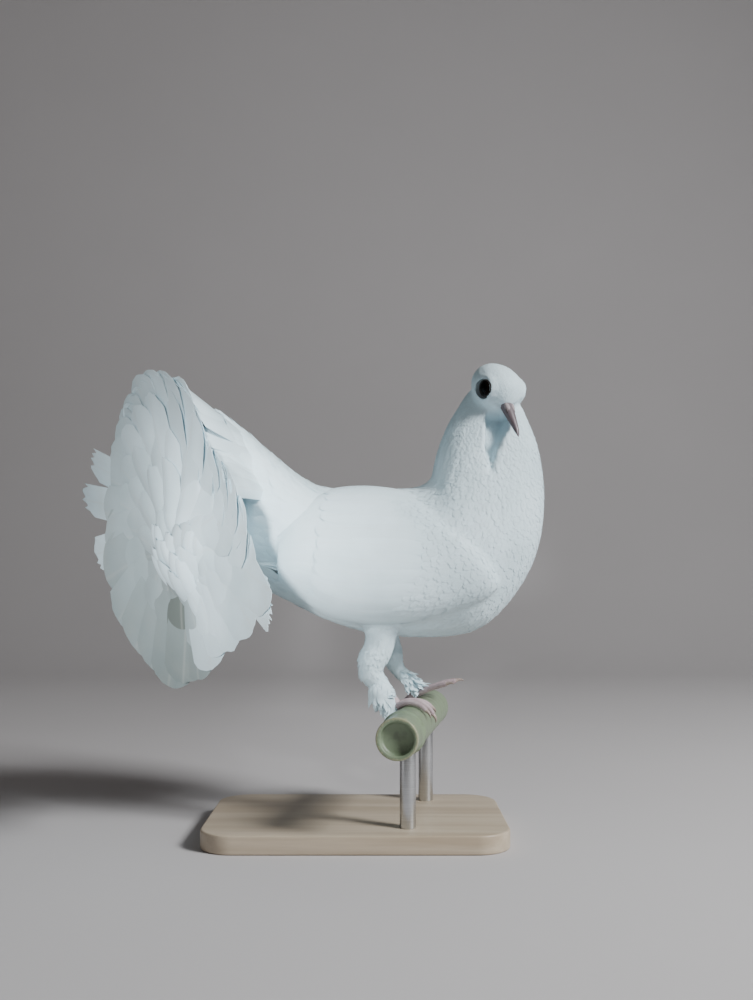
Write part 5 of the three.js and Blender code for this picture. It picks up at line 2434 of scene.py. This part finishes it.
@dataclass
class Muff:
    """The short feathers that fall over one foot from the end of the leg's plumage."""

    leg: Leg
    seed: int
    count: int = 120
    thick: float = 0.3

    def show(self, material: Material) -> None:
        """Adds the feathers as a piece.

        Args:
            material: The feathers' material.
        """
        random = np.random.default_rng(self.seed)
        shag = SHAGS[self.leg.side]
        plume = Plume(f"muff_{self.leg.side.word}", 9, 5)
        _, hock, foot = self.leg.line
        shank = (hock - foot).normalized()
        for _ in range(self.count):
            bearing = math.radians(random.uniform(*shag.bearing))
            out = Vector((math.cos(bearing), math.sin(bearing), 0))
            across = Vector((-out.y, out.x, 0))
            level = random.random()
            root = foot + shank * (0.6 + 13 * level) + out * (2.2 + 2.9 * level)
            length = random.uniform(*shag.length)
            half = random.uniform(*shag.half)
            fall = random.uniform(*shag.fall)
            bend = random.uniform(-1, 1) * 0.9

            def place(share: float, v: float) -> tuple[Vector, Vector]:
                """A point of the feather and the direction that it faces.

                Args:
                    share: The share of the feather's length, from its root.
                    v: The place across it from -1 to 1.

                Returns:
                    The point in layout millimetres and the direction.
                """
                steep = math.atan(fall) * min(1.0, 0.35 + share)
                reach = length * share * (1 - 0.12 * v * v * share)
                at = root + out * (reach * math.cos(steep))
                at += across * (v * half * breadth(share, 0.5, 0.55) + bend * share * share)
                at.z -= reach * math.sin(steep) + 0.25 * v * v
                return at, (Vector((0, 0, math.cos(steep))) + out * math.sin(steep)).normalized()

            plume.add(place, self.thick, random.beta(1.3, 3))
        plume.show(material)


@dataclass
class Culm:
    """The cut length of bamboo: skin, node, sawn ends and hollows."""

    steps: int = 110
    sides: int = 56

    def profile(self) -> list[tuple[float, float]]:
        """Distance along the bamboo and radius, from the hollow's floor at the near end to the far end."""
        radius, near, far, wall = PERCH.radius, PERCH.near, PERCH.far, PERCH.wall
        inner = radius - wall
        rows = [(near + 4.5, 0.4), (near + 4.4, inner - 1.6), (near + 3.4, inner), (near + 0.4, inner)]
        rows += [(near, inner + 0.4), (near, radius - 0.5), (near + 0.15, radius - 0.15)]
        rows.append((near + 0.6, radius))
        for i in range(1, self.steps):
            along = lerp(near + 0.6, far - 0.6, i / self.steps)
            away = (along - PERCH.ring_at) / 2.2
            groove = 0.35 * math.exp(-(((along - PERCH.ring_at - 2.6) / 0.7) ** 2))
            worn = 0.16 * math.sin(along * 0.21) + 0.1 * math.sin(along * 0.57 + 1)
            rows.append((along, radius - 0.1 + PERCH.ring * math.exp(-away * away) - groove + worn * 0.6))
        rows += [(far - 0.6, radius), (far - 0.15, radius - 0.15), (far, radius - 0.5), (far, inner + 0.4)]
        rows += [(far - 0.4, inner), (far - 9.6, inner), (far - 11, inner - 1.4), (far - 11, 0.4)]
        return rows

    def show(self, material: Material) -> None:
        """Adds the bamboo.

        Args:
            material: The bamboo's finish.
        """
        bm = bmesh.new()
        turns = [math.tau * j / self.sides for j in range(self.sides)]
        rings = [[PERCH.point(along, radius, turn) for turn in turns] for along, radius in self.profile()]
        bridge_rings(bm, rings)
        layer = bm.loops.layers.uv.new("Culm")
        for face in bm.faces:
            facing = self.around(face.calc_center_median())
            for loop in face.loops:
                turn = self.around(loop.vert.co)
                turn += round(facing - turn)
                off = loop.vert.co - PERCH.middle
                along = off.dot(PERCH.along)
                inside = PERCH.radius - (off - PERCH.along * along).length
                along += 7 * max(0.0, inside - 0.8)
                loop[layer].uv = (turn, (along - PERCH.near) / (PERCH.far - PERCH.near))
        add_piece("bamboo_perch", to_mesh(bm, "bamboo"), material, ["perch"])

    @staticmethod
    def around(point: Vector) -> float:
        """The point's angle round the bamboo as a share of a turn."""
        off = point - PERCH.middle
        return math.atan2(off.dot(PERCH.across), off.z) / math.tau


@dataclass
class Stand:
    """The flat wooden base and the two steel rods."""

    length: float = 190
    width: float = 124
    thick: float = 12
    corner: float = 22
    centre_x: float = -28
    lift: float = 48
    rod: float = 5
    rod_at: float = 42
    softening: float = 1.4
    rod_softening: float = 0.4

    @property
    def floor(self) -> float:
        """Height of the base's underside."""
        return -2 * PERCH.radius - self.lift - self.thick

    def base(self) -> BMesh:
        """The plate with round corners and softened edges."""
        bm = bmesh.new()
        middle = Vector((self.centre_x, 0, self.floor + self.thick / 2))
        size = Matrix.Diagonal((self.length, self.width, self.thick, 1))
        bmesh.ops.create_cube(bm, size=1, matrix=Matrix.Translation(middle) @ size)
        upright = [e for e in bm.edges if abs(e.verts[0].co.z - e.verts[1].co.z) > 1]
        bevel(bm, upright, self.corner, 16)
        bevel(bm, self.rims(bm), self.softening, 4)
        return bm

    @staticmethod
    def rims(bm: BMesh) -> list[bmesh.types.BMEdge]:
        """The level edges that a flat face ends at."""
        level = [edge for edge in bm.edges if abs(edge.verts[0].co.z - edge.verts[1].co.z) < 0.01]
        return [edge for edge in level if edge.calc_face_angle(0) > 1]

    def post(self, along: float) -> BMesh:
        """One rod from the base up into the bamboo's underside.

        Args:
            along: Where it stands along the bamboo.

        Returns:
            The shape in layout millimetres.
        """
        bm = bmesh.new()
        foot = self.floor + self.thick
        top = -2 * PERCH.radius + 1.6
        spot = PERCH.point(along, 0, 0)
        place = Matrix.Translation((spot.x, spot.y, (top + foot) / 2))
        bmesh.ops.create_cone(
            bm, cap_ends=True, segments=64, radius1=self.rod, radius2=self.rod, depth=top - foot, matrix=place
        )
        bevel(bm, self.rims(bm), self.rod_softening, 3)
        return bm

    def show(self, wood: Material, steel: Material) -> None:
        """Adds the base and the rods.

        Args:
            wood: The base's finish.
            steel: The rods' finish.
        """
        base = add_piece("base_plate", to_mesh(self.base(), "base"), wood, ["stand_base"])
        self.soften(base)
        for word, along in (("near", -self.rod_at), ("far", self.rod_at)):
            mesh = to_mesh(self.post(along), "post")
            self.soften(add_piece(f"post_{word}", mesh, steel, [f"stand_rod_{word}"]))

    @staticmethod
    def soften(piece: Object) -> None:
        """Keeps flat faces flat beside the rounded edges.

        Args:
            piece: The base or a rod.
        """
        for edge in piece.data.edges:
            edge.use_edge_sharp = False
        piece.data.set_sharp_from_angle(angle=math.radians(40))


@dataclass
class Studio:
    """Floor, light and camera."""

    eye: Point = (-15, -715, 83)
    lens: float = 39.6
    shift: float = 0.073

    def camera(self) -> None:
        """Sets the camera at the photograph's place, level and looking along Y."""
        data = bpy.data.cameras.new("camera")
        data.lens = self.lens
        data.sensor_width = 36
        data.sensor_fit = "AUTO"
        data.shift_y = self.shift
        data.clip_start = 0.01
        camera = link("camera", data)
        camera.location = FRAME.to_metres(Vector(self.eye))
        camera.rotation_euler = (math.pi / 2, 0, 0)
        bpy.context.scene.camera = camera

    def floor(self, material: Material) -> None:
        """Adds the floor, which sweeps up behind the bird.

        Args:
            material: The floor's finish.
        """
        bm = bmesh.new()
        profile = [(-6.0, 0.0), (1.1, 0.0)]
        for i in range(1, 13):
            angle = math.pi / 2 * i / 12
            profile.append((1.1 + 0.9 * math.sin(angle), 0.9 - 0.9 * math.cos(angle)))
        profile.append((2.0, 5.0))
        first = [bm.verts.new((-6, y, z)) for y, z in profile]
        edges = [bm.edges.new(pair) for pair in zip(first, first[1:])]
        moved = bmesh.ops.extrude_edge_only(bm, edges=edges)["geom"]
        verts = [item for item in moved if isinstance(item, bmesh.types.BMVert)]
        bmesh.ops.translate(bm, vec=(12, 0, 0), verts=verts)
        bmesh.ops.recalc_face_normals(bm, faces=bm.faces)
        mesh = bpy.data.meshes.new("floor")
        bm.to_mesh(mesh)
        bm.free()
        mesh.materials.append(material)
        mesh.polygons.foreach_set("use_smooth", [True] * len(mesh.polygons))
        link("studio_floor", mesh)

    @staticmethod
    def aim(data: bpy.types.Light, at: Point, target: Point, power: float, colour: Point) -> None:
        """Adds a lamp that points at a place.

        Args:
            data: The lamp, which gives the object its name.
            at: Its place in metres from the bird's feet.
            target: Where it points, in layout millimetres.
            power: Its power in watts.
            colour: Its colour.
        """
        data.energy = power
        data.color = colour
        lamp = link(data.name, data)
        lamp.location = FRAME.origin + Vector(at)
        way = FRAME.to_metres(Vector(target)) - lamp.location
        lamp.rotation_euler = way.to_track_quat("-Z", "Y").to_euler()

    def lamp(self, name: str, at: Point, size: float, power: float, colour: Point) -> None:
        """Adds a soft square lamp that looks at the bird.

        Args:
            name: The lamp's name.
            at: Its place in metres from the bird's feet.
            size: Its side in metres.
            power: Its power in watts.
            colour: Its colour.
        """
        data = bpy.data.lights.new(name, "AREA")
        data.size = size
        self.aim(data, at, (0, 0, 90), power, colour)

    def spot(self, name: str, at: Point, target: Point, degrees: float, power: float, colour: Point) -> None:
        """Adds a narrow soft-edged lamp.

        Args:
            name: The lamp's name.
            at: Its place in metres from the bird's feet.
            target: Where it points, in layout millimetres.
            degrees: Its beam's full angle.
            power: Its power in watts.
            colour: Its colour.
        """
        data = bpy.data.lights.new(name, "SPOT")
        data.spot_size = math.radians(degrees)
        data.spot_blend = 0.95
        data.shadow_soft_size = 0.06
        self.aim(data, at, target, power, colour)

    def light(self) -> None:
        """Lights the bird from the upper right, with spots from the front on the fan and on the body."""
        self.lamp("key", (1.25, -0.8, 1.0), 0.4, 46, (0.98, 1.0, 1.0))
        self.lamp("side", (-1.5, -0.5, 0.1), 0.35, 0.8, (0.97, 0.99, 1.0))
        self.spot("fan", (-0.3, -1.3, 0.2), (-128, -24, 96), 12.5, 138, (0.97, 0.99, 1.0))
        self.spot("body", (0.15, -1.3, 0.62), (-6, -50, 98), 8.0, 26, (0.98, 1.0, 1.0))
        world = bpy.data.worlds.new("studio")
        world.use_nodes = True
        sockets = world.node_tree.nodes["Background"].inputs
        sockets["Color"].default_value = (0.84, 0.77, 0.71, 1)
        sockets["Strength"].default_value = 0.095
        bpy.context.scene.world = world


def main() -> None:
    """Builds the studio and the bird, sub-assembly by sub-assembly."""
    logging.basicConfig(level=logging.INFO, format="%(name)s: %(message)s")
    studio = Studio()
    studio.camera()
    studio.floor(Backdrop().build())
    studio.light()
    hub = FRAME.to_metres(Vector(FAN.hub))
    soft_white = Plumage("body_plumage", barbs=9.0, slant=5.0, relief=0.10).build()
    wing_white = Plumage("wing_plumage", barbs=26.0, slant=14.0).build()
    # The tail's dark greenish dull colour stands for dirt and painted shade on the fan's far side and bottom.
    tail_white = Plumage(
        "tail_plumage", dull=0.85, dirt=(0.12, 0.145, 0.135), shaft=0.16, soiled=(0.42, 0.42, 0.37), hub=hub
    ).build()
    lid_skin = BareSkin("lid_skin", (0.022, 0.019, 0.019), (0.012, 0.01, 0.01)).build()
    cere_skin = BareSkin("cere_skin", (0.34, 0.29, 0.30), (0.25, 0.21, 0.22), relief=0.15).build()
    toe_skin = BareSkin("toe_skin", (0.50, 0.40, 0.42), (0.35, 0.26, 0.28), relief=0.3).build()
    bill_horn = Horn("bill_horn", (0.17, 0.135, 0.15), (0.13, 0.10, 0.115)).build()
    claw_horn = Horn("claw_horn", (0.50, 0.40, 0.36), (0.20, 0.15, 0.13)).build()
    # Near-black painted shadow for the mouth's line and the nostril slits.
    dark = BareSkin("mouth_painted_shadow", (0.05, 0.03, 0.03), (0.03, 0.02, 0.02)).build()
    body = Body()
    body.show(soft_white)
    Coat(body).show(soft_white)
    for side in Side:
        WingFeathers(side, body).show(wing_white)
        eye = Eye(side)
        eye.ball(WetEye(f"dark_eye_{side.word}").build())
        eye.lids(lid_skin)
        leg = Leg(side)
        Foot(leg).show(toe_skin, claw_horn)
        Muff(leg, 17 + side.value).show(soft_white)
    FanFeathers().show(tail_white, body)
    Bill().show(bill_horn, cere_skin, dark)
    Culm().show(Bamboo().build())
    Stand().show(
        Timber("pale_wood", (0.56, 0.47, 0.36), (0.45, 0.36, 0.26)).build(), BrushedSteel().build()
    )


if __name__ == "__main__":
    main()
